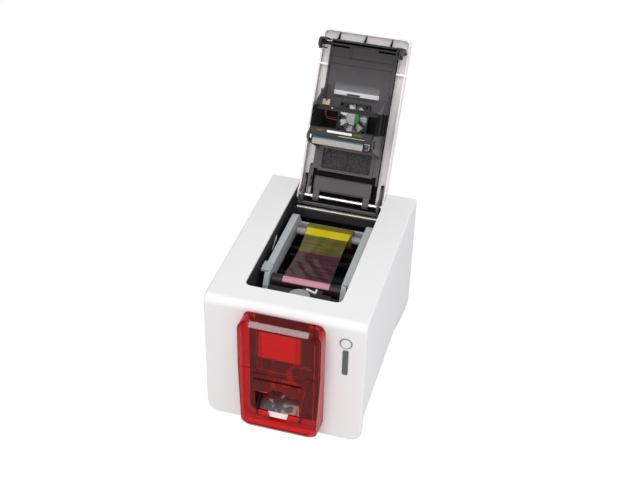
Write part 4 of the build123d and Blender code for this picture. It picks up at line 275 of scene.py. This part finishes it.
# %% Metals
def metal(name, colour, roughness, brush=0.0):
    material = bpy.data.materials.new(name)
    material.use_nodes = True
    tree = material.node_tree
    shader = tree.nodes["Principled BSDF"]
    shader.inputs["Metallic"].default_value = 1.0
    place = tree.nodes.new("ShaderNodeTexCoord")
    stretch = tree.nodes.new("ShaderNodeMapping")
    stretch.inputs["Scale"].default_value = (60, 1400, 1400)
    lines = tree.nodes.new("ShaderNodeTexNoise")
    lines.inputs["Scale"].default_value = 1.0
    tone = tree.nodes.new("ShaderNodeMix")
    tone.data_type = "RGBA"
    tone.inputs[6].default_value = (*[c * 0.85 for c in colour], 1)
    tone.inputs[7].default_value = (*colour, 1)
    gloss = tree.nodes.new("ShaderNodeMapRange")
    gloss.inputs["To Min"].default_value = roughness
    gloss.inputs["To Max"].default_value = roughness + 0.15
    bump = tree.nodes.new("ShaderNodeBump")
    bump.inputs["Distance"].default_value = brush
    tree.links.new(place.outputs["Object"], stretch.inputs["Vector"])
    tree.links.new(stretch.outputs[0], lines.inputs["Vector"])
    tree.links.new(lines.outputs["Fac"], tone.inputs[0])
    tree.links.new(tone.outputs[2], shader.inputs["Base Color"])
    tree.links.new(lines.outputs["Fac"], gloss.inputs["Value"])
    tree.links.new(gloss.outputs[0], shader.inputs["Roughness"])
    tree.links.new(lines.outputs["Fac"], bump.inputs["Height"])
    tree.links.new(bump.outputs["Normal"], shader.inputs["Normal"])
    return material


steel = metal("ground steel", (0.72, 0.73, 0.75), 0.2, 0.000004)
pressed_steel = metal("pressed steel", (0.6, 0.6, 0.6), 0.35, 0.00001)
aluminium = metal("extruded aluminium", (0.72, 0.70, 0.66), 0.38, 0.00001)
ring_metal = metal("ring metal", (0.34, 0.33, 0.34), 0.3, 0.000004)
finish(steel, "hinge_shaft", "feeder_hinge_pins")
finish(pressed_steel, "motor_bracket", "usb_socket")
head_metal = metal("head aluminium", (0.42, 0.40, 0.385), 0.5, 0.00001)
finish(aluminium, "guide_strip")
finish(head_metal, "head_heat_sink")
finish(ring_metal, "button_ring")

# %% Clear and coloured plastics
def clear_plastic(name, colour, roughness=0.05, transmission=1.0, ior=1.45, specular=0.5):
    material = bpy.data.materials.new(name)
    material.use_nodes = True
    tree = material.node_tree
    shader = tree.nodes["Principled BSDF"]
    shader.inputs["Roughness"].default_value = roughness
    shader.inputs["IOR"].default_value = ior
    shader.inputs["Specular IOR Level"].default_value = specular
    shader.inputs["Transmission Weight"].default_value = transmission
    skin = tree.nodes.new("ShaderNodeGroup")
    skin.node_tree = SKIN
    skin.inputs["Colour"].default_value = (*colour, 1)
    skin.inputs["Drift"].default_value = 0.03
    skin.inputs["Grain size"].default_value = 300
    tree.links.new(skin.outputs["Colour"], shader.inputs["Base Color"])
    return material


clear_red = clear_plastic("clear red", (0.84, 0.010, 0.014), 0.02, 0.96, 1.3, 0.5)
smoke = clear_plastic("smoke", (0.25, 0.25, 0.27), 0.1, 0.6)
dial_clear = clear_plastic("clear dial", (0.75, 0.77, 0.78), 0.12, 0.6)
finish(clear_red, "feeder_cover", "output_cover")
finish(smoke, "status_light")
finish(dial_clear, "gauge_dial")
yellow = plastic("yellow film", (0.20, 0.165, 0.008), 0.3, 500, 0.00001, 0.15)
board_green = plastic("board green", (0.02, 0.11, 0.05), 0.35, 700, 0.00003, 0.2)
board_teal = plastic("board teal", (0.008, 0.13, 0.10), 0.35, 700, 0.00003, 0.2)
finish(yellow, "supply_roll")
finish(board_green, "main_board", "button_board")
finish(board_teal, "head_board")
finish(fine_black, "fan_lead", "ribbon_film")

# %% [markdown]
# ## Colour that follows a place
# Some parts carry two colours on one moulding: the fan has a dark hub and pale blades, and
# the wound film has a painted highlight in a band along its upper side. A small function turns a
# distance into a soft mask between two limits, so each of those materials needs only a few nodes.

# %% A soft step between two values
def soft_step(tree, value, low, high):
    ramp = tree.nodes.new("ShaderNodeMapRange")
    ramp.interpolation_type = "SMOOTHSTEP"
    ramp.inputs["From Min"].default_value = low
    ramp.inputs["From Max"].default_value = high
    tree.links.new(value, ramp.inputs["Value"])
    return ramp.outputs[0]


def blend_colours(tree, mask, first, second):
    mix = tree.nodes.new("ShaderNodeMix")
    mix.data_type = "RGBA"
    for socket, colour in ((mix.inputs[6], first), (mix.inputs[7], second)):
        if isinstance(colour, tuple):
            socket.default_value = (*colour, 1)
        else:
            tree.links.new(colour, socket)
    tree.links.new(mask, mix.inputs[0])
    return mix.outputs[2]


def paint(tree, mask, first, second):
    mixed = blend_colours(tree, mask, first, second)
    tree.links.new(mixed, tree.nodes["Principled BSDF"].inputs["Base Color"])


def place_in(tree, turn=(0, 0, 0), shift=(0, 0, 0)):
    coords = tree.nodes.new("ShaderNodeTexCoord")
    mapping = tree.nodes.new("ShaderNodeMapping")
    mapping.inputs["Rotation"].default_value = turn
    mapping.inputs["Location"].default_value = shift
    tree.links.new(coords.outputs["Object"], mapping.inputs["Vector"])
    axes = tree.nodes.new("ShaderNodeSeparateXYZ")
    tree.links.new(mapping.outputs[0], axes.inputs[0])
    return mapping.outputs[0], axes.outputs


# %% [markdown]
# ## Working on the lid
# The lid stands open at 120 degrees. It is easier to think of it shut, with its floor level,
# so everything on it is modelled shut and then swung open about the hinge line.

# %% Swing from shut to open
HINGE = Vector((0, 0.1245, 0.182))
OPEN_ANGLE = math.radians(120)
opening = Matrix.Rotation(-OPEN_ANGLE, 4, "X")
SWING = Matrix.Translation(HINGE) @ opening @ Matrix.Translation(-HINGE)
SHUT_TURN = (OPEN_ANGLE, 0, 0)
back = Matrix.Rotation(OPEN_ANGLE, 3, "X") @ -HINGE + HINGE
SHUT_SHIFT = tuple(back)
FLOOR_Z = 0.180
print("a point on the shut lid's floor opens to", [round(c, 4) for c in SWING @ Vector((0, 0, FLOOR_Z))])


def lid_point(x, y, z):
    return SWING @ Vector((x, y, z))


def swing_open(piece):
    piece.data.transform(SWING)
    piece.data.update()
    return piece


# %% A block with softened edges
def apply_modifiers(piece):
    bpy.ops.object.select_all(action="DESELECT")
    piece.select_set(True)
    bpy.context.view_layer.objects.active = piece
    for modifier in list(piece.modifiers):
        bpy.ops.object.modifier_apply(modifier=modifier.name)


def settle(piece, name, body, material):
    bpy.ops.object.select_all(action="DESELECT")
    piece.select_set(True)
    bpy.context.view_layer.objects.active = piece
    bpy.ops.object.transform_apply(location=True, rotation=True, scale=True)
    piece.name = name
    piece.data.name = name
    piece.data.materials.clear()
    piece.data.materials.append(material)
    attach(piece, body)
    return piece


def soft_block(name, body, material, low, high, edge, segments=2, on_lid=True):
    bpy.ops.object.select_all(action="DESELECT")
    middle = [(a + b) / 2 for a, b in zip(low, high)]
    bpy.ops.mesh.primitive_cube_add(size=1, location=middle)
    piece = bpy.context.object
    piece.scale = [b - a for a, b in zip(low, high)]
    bpy.ops.object.transform_apply(location=True, rotation=True, scale=True)
    bevel = piece.modifiers.new("soft edges", "BEVEL")
    bevel.width = edge
    bevel.segments = segments
    apply_modifiers(piece)
    settle(piece, name, body, material)
    return swing_open(piece) if on_lid else piece


def join_pieces(pieces, name, body, material):
    bpy.ops.object.select_all(action="DESELECT")
    for piece in pieces:
        piece.select_set(True)
    bpy.context.view_layer.objects.active = pieces[0]
    bpy.ops.object.join()
    return settle(pieces[0], name, body, material)


# %% [markdown]
# ## The lid's black inner frame
# In the photograph the lid's floor catches a broad, weak sheen, and every recess under it is
# nearly black. The frame is one moulding, so both are painted into its colour: a painted sheen
# lightens the floor towards the hinge, the window's ridge is a lighter grey, and painted shade
# turns every surface behind the floor and the hollow under the tie bar near-black. The mask
# reads how far a surface lies behind the floor, in the shut lid's own directions.

# %% Lid frame material
lid_black = plastic("lid black", (0.030, 0.028, 0.030), 0.46, 1300, 0.00005, 0.22, 0.1)
tree = lid_black.node_tree
shader = tree.nodes["Principled BSDF"]
shader.inputs["Specular IOR Level"].default_value = 0.3
skin_colour = shader.inputs["Base Color"].links[0].from_socket
skin_gloss = shader.inputs["Roughness"].links[0].from_socket
vector, axes = place_in(tree, SHUT_TURN, SHUT_SHIFT)
# Painted sheen: the floor is painted lighter from the lid's front towards the hinge.
lower = soft_step(tree, axes["Y"], -0.085, -0.020)
shaded = blend_colours(tree, lower, skin_colour, (0.078, 0.073, 0.078))
ridge = soft_step(tree, axes["Y"], 0.045, 0.050)
shaded = blend_colours(tree, ridge, shaded, (0.115, 0.105, 0.110))
# Painted shade: every surface behind the floor, and the hollow under the tie bar, is painted near-black
# and made rough.
behind = soft_step(tree, axes["Z"], FLOOR_Z + 0.0008, FLOOR_Z + 0.003)
hollow = tree.nodes.new("ShaderNodeMath")
hollow.operation = "COMPARE"
HOLLOW_MIDDLE_Y = 0.0145
HOLLOW_HALF_Y = 0.0145
hollow.inputs[1].default_value = HOLLOW_MIDDLE_Y
hollow.inputs[2].default_value = HOLLOW_HALF_Y
tree.links.new(axes["Y"], hollow.inputs[0])
painted_recess_shade = tree.nodes.new("ShaderNodeMath")
painted_recess_shade.operation = "MAXIMUM"
tree.links.new(behind, painted_recess_shade.inputs[0])
tree.links.new(hollow.outputs[0], painted_recess_shade.inputs[1])
paint(tree, painted_recess_shade.outputs[0], shaded, (0.006, 0.006, 0.007))
dull = tree.nodes.new("ShaderNodeMath")
dull.operation = "MAXIMUM"
tree.links.new(skin_gloss, dull.inputs[0])
tree.links.new(painted_recess_shade.outputs[0], dull.inputs[1])
tree.links.new(dull.outputs[0], shader.inputs["Roughness"])
finish(lid_black, "lid_frame")

# %% [markdown]
# The window's pane is a mottled charcoal sheet: dusty, with lighter clouds and a darker
# seam down its middle.

# %% Pane material
pane = plastic("mottled pane", (0.040, 0.035, 0.038), 0.6, 900, 0.00006, 0.1)
tree = pane.node_tree
shader = tree.nodes["Principled BSDF"]
skin_colour = shader.inputs["Base Color"].links[0].from_socket
vector, axes = place_in(tree, SHUT_TURN, SHUT_SHIFT)
clouds = tree.nodes.new("ShaderNodeTexNoise")
clouds.inputs["Scale"].default_value = 420
clouds.inputs["Detail"].default_value = 6
clouds.inputs["Roughness"].default_value = 0.8
tree.links.new(vector, clouds.inputs["Vector"])
dusty = soft_step(tree, clouds.outputs["Fac"], 0.40, 0.68)
mottled = blend_colours(tree, dusty, skin_colour, (0.105, 0.093, 0.097))
seam = tree.nodes.new("ShaderNodeMath")
seam.operation = "ABSOLUTE"
tree.links.new(axes["X"], seam.inputs[0])
near = soft_step(tree, seam.outputs[0], 0.0012, 0.0003)
paint(tree, near, mottled, (0.03, 0.028, 0.03))
shader.inputs["Specular IOR Level"].default_value = 0.25
finish(pane, "window_panel")

# %% [markdown]
# The lid's white shell ends in a black edge behind the hinge, and the plate over the fan is dark
# with one pale strip along its lower side; a painted sheen lightens the plate towards that strip.
# Both are one part with two shades.

# %% Shell edge and sensor plate
tree = lid_white.node_tree
shader = tree.nodes["Principled BSDF"]
skin_colour = shader.inputs["Base Color"].links[0].from_socket
vector, axes = place_in(tree, SHUT_TURN, SHUT_SHIFT)
rear = soft_step(tree, axes["Y"], 0.1325, 0.1330)
low_edge = soft_step(tree, axes["Z"], 0.1835, 0.1825)
rear_low = tree.nodes.new("ShaderNodeMath")
rear_low.operation = "MULTIPLY"
tree.links.new(rear, rear_low.inputs[0])
tree.links.new(low_edge, rear_low.inputs[1])
paint(tree, rear_low.outputs[0], skin_colour, (0.02, 0.02, 0.02))

plate = plastic("sensor plate", (0.055, 0.054, 0.056), 0.4, 1300, 0.00002, 0.1)
tree = plate.node_tree
shader = tree.nodes["Principled BSDF"]
skin_colour = shader.inputs["Base Color"].links[0].from_socket
vector, axes = place_in(tree, SHUT_TURN, SHUT_SHIFT)
# Painted sheen: the dark plate is painted lighter over the last 12 mm before the pale strip.
fade = soft_step(tree, axes["Y"], -0.036, -0.024)
dark = blend_colours(tree, fade, skin_colour, (0.15, 0.15, 0.155))
strip = soft_step(tree, axes["Y"], -0.0236, -0.0232)
pale = blend_colours(tree, strip, dark, (0.62, 0.63, 0.65))
foot = soft_step(tree, axes["Y"], -0.0180, -0.0176)
paint(tree, foot, pale, (0.02, 0.02, 0.021))
finish(plate, "sensor_plate")

# %% [markdown]
# ## Fan
# The fan's hub carries a round paper label, silver on one half and green on the other, and
# the blades are pale. The label is a thin disc of its own that turns with the fan.

# %% Fan colours and label
FAN_PLACE = (0.001, 0.0115)
HUB_R = 0.0095
fan_skin = plastic("fan plastic", (0.78, 0.78, 0.77), 0.45, 1500, 0.00002, 0.05)
tree = fan_skin.node_tree
shader = tree.nodes["Principled BSDF"]
skin_colour = shader.inputs["Base Color"].links[0].from_socket
vector, axes = place_in(tree, SHUT_TURN, SHUT_SHIFT)
flat = tree.nodes.new("ShaderNodeCombineXYZ")
tree.links.new(axes["X"], flat.inputs["X"])
tree.links.new(axes["Y"], flat.inputs["Y"])
reach = tree.nodes.new("ShaderNodeVectorMath")
reach.operation = "DISTANCE"
reach.inputs[1].default_value = (*FAN_PLACE, 0)
tree.links.new(flat.outputs[0], reach.inputs[0])
blades = soft_step(tree, reach.outputs["Value"], HUB_R + 0.0002, HUB_R + 0.0004)
paint(tree, blades, (0.03, 0.03, 0.032), skin_colour)
finish(fan_skin, "fan_rotor")

label_paper = plastic("two-colour label", (0.46, 0.47, 0.48), 0.35, 1200, 0.00001, 0.1)
tree = label_paper.node_tree
shader = tree.nodes["Principled BSDF"]
skin_colour = shader.inputs["Base Color"].links[0].from_socket
vector, axes = place_in(tree, SHUT_TURN, SHUT_SHIFT)
half = soft_step(tree, axes["X"], FAN_PLACE[0] + 0.0024, FAN_PLACE[0] + 0.0026)
paint(tree, half, skin_colour, (0.004, 0.20, 0.025))

bpy.ops.object.select_all(action="DESELECT")
LABEL_R = 0.0089
LABEL_T = 0.0002
LABEL_Z = 0.1707
label_place = (*FAN_PLACE, LABEL_Z)
bpy.ops.mesh.primitive_cylinder_add(vertices=64, radius=LABEL_R, depth=LABEL_T, location=label_place)
fan_label = bpy.context.object
bevel = fan_label.modifiers.new("paper edge", "BEVEL")
bevel.width = 0.00006
bevel.limit_method = "ANGLE"
apply_modifiers(fan_label)
swing_open(settle(fan_label, "fan_label", "fan", label_paper))
print("fan label at", [round(c, 4) for c in lid_point(*label_place)])

# %% [markdown]
# ## Fan leads
# Two thin wires, a red and a black one, leave the fan's side and turn towards the plug on
# the lid's cheek. Each is one smooth open curve through the same few points as the CAD run.

# %% Two wires
WIRE_R = 0.0006
POINT_R = 0.01


def measured_length(curve):
    bevel = curve.data.bevel_depth
    curve.data.bevel_depth = 0
    bpy.context.view_layer.update()
    line = bpy.data.meshes.new_from_object(curve.evaluated_get(bpy.context.evaluated_depsgraph_get()))
    points = [v.co.copy() for v in line.vertices]
    bpy.data.meshes.remove(line)
    curve.data.bevel_depth = bevel
    return sum((b - a).length for a, b in zip(points, points[1:]))


def wire(name, colour, side):
    z = 0.166 + side * 0.00075
    lead_y = 0.0155 + side * 0.0012
    plug_x = -0.0374 + side * 0.0008
    route = [
        (-0.0200, lead_y, z),
        (-0.0330, lead_y, z),
        (plug_x, lead_y - 0.0035, z),
        (plug_x, -0.0016, z),
    ]
    data = bpy.data.curves.new(name, "CURVE")
    data.dimensions = "3D"
    data.bevel_depth = WIRE_R / POINT_R
    data.bevel_resolution = 3
    spline = data.splines.new("NURBS")
    spline.points.add(len(route) - 1)
    for point, place in zip(spline.points, route):
        point.co = (*lid_point(*place), 1)
        point.radius = POINT_R
    spline.order_u = 3
    spline.use_endpoint_u = True
    spline.resolution_u = 12
    piece = bpy.data.objects.new(name, data)
    scene.collection.objects.link(piece)
    data.materials.append(plastic(name + " sleeve", colour, 0.4, 2500, 0.00001, 0.1))
    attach(piece, "lid")
    length = measured_length(piece)
    print(name, "is", round(length * 1000, 1), "mm long")
    return piece


red_wire = wire("fan_lead_red", (0.45, 0.02, 0.03), 1)
black_wire = wire("fan_lead_black", (0.02, 0.02, 0.022), -1)
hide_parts("fan_lead")

# %% [markdown]
# ## Print head
# The print head is a pale aluminium bar with a teal board behind it, in a black carrier.
# On the carrier's face lie a bare white label, gold contacts and a dark brown strip, and
# springs and pressed levers stand at its ends.

# %% Small finishes for it
gold = metal("gold contacts", (0.22, 0.17, 0.04), 0.4, 0.000002)
brown = plastic("brown strip", (0.022, 0.010, 0.008), 0.5, 1200, 0.00002, 0.3)
label_white = plastic("bare label", (0.82, 0.82, 0.83), 0.4, 900, 0.00001, 0.04)
spring_steel = metal("spring steel", (0.36, 0.36, 0.37), 0.34, 0.000004)
FACE_Z = 0.11556

soft_block(
    "head_label", "print_head", label_white,
    (-0.0195, 0.0302, FACE_Z - 0.0003), (0.0140, 0.0332, FACE_Z), 0.0001,
)
soft_block(
    "head_strip", "print_head", brown,
    (-0.0335, 0.0366, FACE_Z - 0.0004), (0.0310, 0.0401, FACE_Z), 0.0001,
)
soft_block(
    "head_flex", "print_head", cream,
    (-0.0030, 0.0358, FACE_Z - 0.0003), (0.0315, 0.0364, FACE_Z), 0.0001,
)
soft_block(
    "head_rim", "print_head", black_abs,
    (-0.0408, 0.0280, FACE_Z - 0.0006), (0.0408, 0.0287, FACE_Z + 0.0002), 0.00015,
)
contacts = []
for start, count in ((-0.0330, 5), (0.0165, 6)):
    for i in range(count):
        x = start + i * 0.0019
        low = (x, 0.0305, FACE_Z - 0.0003)
        high = (x + 0.0011, 0.0325, FACE_Z)
        contacts.append(soft_block("contact", "print_head", gold, low, high, 0.0001))
join_pieces(contacts, "head_contacts", "print_head", gold)
print("contacts made:", len(contacts))

# %% [markdown]
# A coil spring is one small ring of wire turned about an axis while it moves along it,
# which is what the Screw modifier does.

# %% Springs and levers at the ends
def coil_spring(name, body, centre, radius, wire_r, pitch, turns, axis_turn):
    bpy.ops.object.select_all(action="DESELECT")
    upright = (math.pi / 2, 0, 0)
    bpy.ops.mesh.primitive_circle_add(vertices=8, radius=wire_r, location=(radius, 0, 0), rotation=upright)
    piece = bpy.context.object
    bpy.ops.object.transform_apply(location=True, rotation=True, scale=True)
    screw = piece.modifiers.new("winding", "SCREW")
    screw.axis = "Z"
    screw.screw_offset = pitch
    screw.iterations = turns
    screw.steps = 20
    screw.render_steps = 20
    screw.use_merge_vertices = False
    apply_modifiers(piece)
    bpy.ops.object.mode_set(mode="EDIT")
    bpy.ops.mesh.select_all(action="DESELECT")
    bpy.ops.mesh.select_non_manifold()
    bpy.ops.mesh.fill_holes(sides=0)
    bpy.ops.mesh.select_all(action="SELECT")
    bpy.ops.mesh.normals_make_consistent(inside=False)
    bpy.ops.object.mode_set(mode="OBJECT")
    piece.data.transform(Matrix.Translation(centre) @ Matrix.Rotation(axis_turn[0], 4, axis_turn[1]))
    bpy.ops.object.shade_smooth_by_angle(angle=math.radians(50))
    settle(piece, name, body, spring_steel)
    return swing_open(piece)


lying = (math.pi / 2, "Y")
coil_spring("head_spring_right", "print_head", (0.0342, 0.0440, 0.1130), 0.0017, 0.00035, 0.0011, 5, lying)
coil_spring("head_spring_lower", "print_head", (0.0350, 0.0478, 0.1120), 0.0015, 0.0003, 0.0010, 4, lying)
soft_block(
    "head_lever_right", "print_head", spring_steel,
    (0.0330, 0.0405, 0.1118), (0.0402, 0.0415, 0.1154), 0.0002,
)
soft_block(
    "head_tab_right", "print_head", spring_steel,
    (0.0395, 0.0400, 0.1110), (0.0404, 0.0480, 0.1150), 0.0002,
)
soft_block(
    "head_clip_left", "print_head", knob_white,
    (-0.0405, 0.0385, 0.1115), (-0.0385, 0.0435, 0.1150), 0.0004,
)
soft_block(
    "head_block_right", "print_head", fine_black,
    (0.0322, 0.0455, 0.1135), (0.0400, 0.0520, 0.1172), 0.0008,
)

# %% [markdown]
# ## Small things on the lid
# A red and black connector sits in the window's corner, a light pin stands on the tie bar,
# and the bright sensor strip has a dark notch in its lower edge.

# %% Connector, pin and notch
plug_red = plastic("connector red", (0.35, 0.02, 0.03), 0.45, 1500, 0.00002, 0.1)
soft_block(
    "pane_connector", "lid", fine_black,
    (-0.0300, 0.0580, 0.1795), (-0.0262, 0.0612, 0.1822), 0.0003,
)
soft_block(
    "pane_connector_red", "lid", plug_red,
    (-0.0316, 0.0572, 0.1800), (-0.0301, 0.0612, 0.1822), 0.0002,
)
soft_block("tie_pin", "lid", cream, (-0.0215, 0.0004, 0.1296), (-0.0197, 0.0022, 0.1302), 0.0002)
soft_block(
    "strip_notch", "lid", fine_black,
    (-0.0135, -0.0202, 0.1770), (0.0045, -0.0180, 0.1774), 0.0001,
)

# %% [markdown]
# ## The dye film
# The film is stretched from the supply roll to the take-up roll. Panels of dye follow one
# another along it: the photograph shows the end of a yellow one, a narrow purple joint and
# the start of a magenta one, which looks plum over the dark bay. It is a thin sheet that
# draws in a little between the rolls, sags, and wrinkles near the take-up side.

# %% The film's shape
FILM_START = (0.0720, 0.1713)
FILM_END = (-0.0400, 0.1681)
FILM_HALF = 0.03075


def film_height(t):
    straight = FILM_START[1] + (FILM_END[1] - FILM_START[1]) * t
    return straight + 0.00015 - 0.0030 * 4 * t * (1 - t)


def film_wrinkle(x, t):
    fade = math.sin(math.pi * t) ** 0.6
    near_end = max(0.0, (t - 0.45) / 0.55)
    waves = 0.00030 * math.sin(210 * x + 9 * t) + 0.00075 * near_end * math.sin(330 * x - 30 * t)
    return waves * fade


bpy.ops.object.select_all(action="DESELECT")
bpy.ops.mesh.primitive_grid_add(x_subdivisions=72, y_subdivisions=120, size=1, location=(0, 0, 0))
film = bpy.context.object
for vertex in film.data.vertices:
    across = vertex.co.x * 2
    t = 0.5 - vertex.co.y
    draw_in = 0.0021 * math.sin(math.pi * min(1.0, max(0.0, t * 1.08))) ** 0.8
    x = across * (FILM_HALF - draw_in)
    y = FILM_START[0] + (FILM_END[0] - FILM_START[0]) * t
    vertex.co = (x, y, film_height(t) + film_wrinkle(x, t))
bpy.ops.object.shade_smooth_by_angle(angle=math.radians(60))
bpy.ops.object.mode_set(mode="EDIT")
bpy.ops.mesh.select_all(action="SELECT")
bpy.ops.mesh.normals_make_consistent(inside=False)
bpy.ops.object.mode_set(mode="OBJECT")
thick = film.modifiers.new("thickness", "SOLIDIFY")
thick.thickness = 0.0001
thick.offset = 0
apply_modifiers(film)
print("film mesh has", len(film.data.polygons), "faces")

# %% [markdown]
# Its colour changes only along its length, so the material reads the place along Y. A bright
# yellow band near the supply roll is a painted highlight over the olive panel. Fine streaks run
# across it, as on the real dye panels, and its gloss lets the wrinkles show.

# %% The film's material
dye = bpy.data.materials.new("dye film")
dye.use_nodes = True
tree = dye.node_tree
shader = tree.nodes["Principled BSDF"]
shader.inputs["Roughness"].default_value = 0.24
shader.inputs["Coat Weight"].default_value = 0.3
coords = tree.nodes.new("ShaderNodeTexCoord")
axes = tree.nodes.new("ShaderNodeSeparateXYZ")
tree.links.new(coords.outputs["Object"], axes.inputs[0])
stretch = tree.nodes.new("ShaderNodeMapping")
stretch.inputs["Scale"].default_value = (25, 520, 60)
tree.links.new(coords.outputs["Object"], stretch.inputs["Vector"])
streaks = tree.nodes.new("ShaderNodeTexNoise")
streaks.inputs["Scale"].default_value = 1
streaks.inputs["Detail"].default_value = 4
tree.links.new(stretch.outputs[0], streaks.inputs["Vector"])
streak_mask = soft_step(tree, streaks.outputs["Fac"], 0.4, 0.65)
olive = blend_colours(tree, streak_mask, (0.070, 0.062, 0.014), (0.135, 0.118, 0.012))
plum = blend_colours(tree, streak_mask, (0.040, 0.012, 0.018), (0.080, 0.026, 0.038))
along = axes.outputs["Y"]
PLUM_END = (0.0148, 0.0153)
JOINT_END = (0.0176, 0.0184)
PAINTED_HIGHLIGHT_START = (0.0515, 0.0535)
PAINTED_HIGHLIGHT_END = (0.0655, 0.0670)
colour = blend_colours(tree, soft_step(tree, along, *PLUM_END), plum, (0.105, 0.012, 0.045))
colour = blend_colours(tree, soft_step(tree, along, *JOINT_END), colour, olive)
# Painted highlight: a bright yellow band over the olive panel near the supply roll.
colour = blend_colours(tree, soft_step(tree, along, *PAINTED_HIGHLIGHT_START), colour, (0.60, 0.50, 0.001))
colour = blend_colours(tree, soft_step(tree, along, *PAINTED_HIGHLIGHT_END), colour, (0.15, 0.125, 0.010))
tree.links.new(colour, shader.inputs["Base Color"])
settle(film, "dye_film", "cassette", dye)
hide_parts("ribbon_film")

# %% [markdown]
# The take-up roll is wound magenta film. Its upper side is painted bright pink as a highlight,
# and below that it is painted dark maroon as shade, so the mask reads how far up the surface faces.

# %% The wound magenta film
wound = bpy.data.materials.new("wound magenta")
wound.use_nodes = True
tree = wound.node_tree
shader = tree.nodes["Principled BSDF"]
shader.inputs["Roughness"].default_value = 0.3
facing = tree.nodes.new("ShaderNodeNewGeometry")
axes = tree.nodes.new("ShaderNodeSeparateXYZ")
tree.links.new(facing.outputs["Normal"], axes.inputs[0])
# Painted highlight and shade: surfaces facing up are painted bright pink, the rest dark maroon.
height = soft_step(tree, axes.outputs["Z"], 0.60, 0.64)
paint(tree, height, (0.018, 0.006, 0.010), (0.62, 0.25, 0.34))
finish(wound, "takeup_roll")

# %% [markdown]
# ## The printed card
# A printed card stands in the output hopper, seen through the window in the lower cover.
# Its picture here is a plain pattern of soft dark waves with a warm stripe, above the white
# margin at its foot.

# %% Card print
card_print = plastic("printed card face", (0.86, 0.86, 0.86), 0.25, 900, 0.00001, 0.02)
tree = card_print.node_tree
shader = tree.nodes["Principled BSDF"]
skin_colour = shader.inputs["Base Color"].links[0].from_socket
coords = tree.nodes.new("ShaderNodeTexCoord")
axes = tree.nodes.new("ShaderNodeSeparateXYZ")
tree.links.new(coords.outputs["Object"], axes.inputs[0])
swirl = tree.nodes.new("ShaderNodeTexNoise")
swirl.inputs["Scale"].default_value = 45
swirl.inputs["Detail"].default_value = 2
swirl.inputs["Distortion"].default_value = 1.2
tree.links.new(coords.outputs["Object"], swirl.inputs["Vector"])
mottle = soft_step(tree, swirl.outputs["Fac"], 0.35, 0.6)
ground = blend_colours(tree, mottle, (0.010, 0.013, 0.020), (0.035, 0.045, 0.060))
warm = blend_colours(tree, soft_step(tree, swirl.outputs["Fac"], 0.56, 0.59), ground, (0.42, 0.22, 0.15))
ember = blend_colours(tree, soft_step(tree, swirl.outputs["Fac"], 0.66, 0.69), warm, (0.22, 0.03, 0.02))
PRINT_FOOT = (0.0426, 0.0429)
printed = soft_step(tree, axes.outputs["Z"], *PRINT_FOOT)
paint(tree, printed, skin_colour, ember)
finish(card_print, "printed_card")

# %% Close the scene
bare = [name for name, part in nodes.items() if not part.data.materials]
print("parts without a finish:", bare)
bpy.context.view_layer.update()
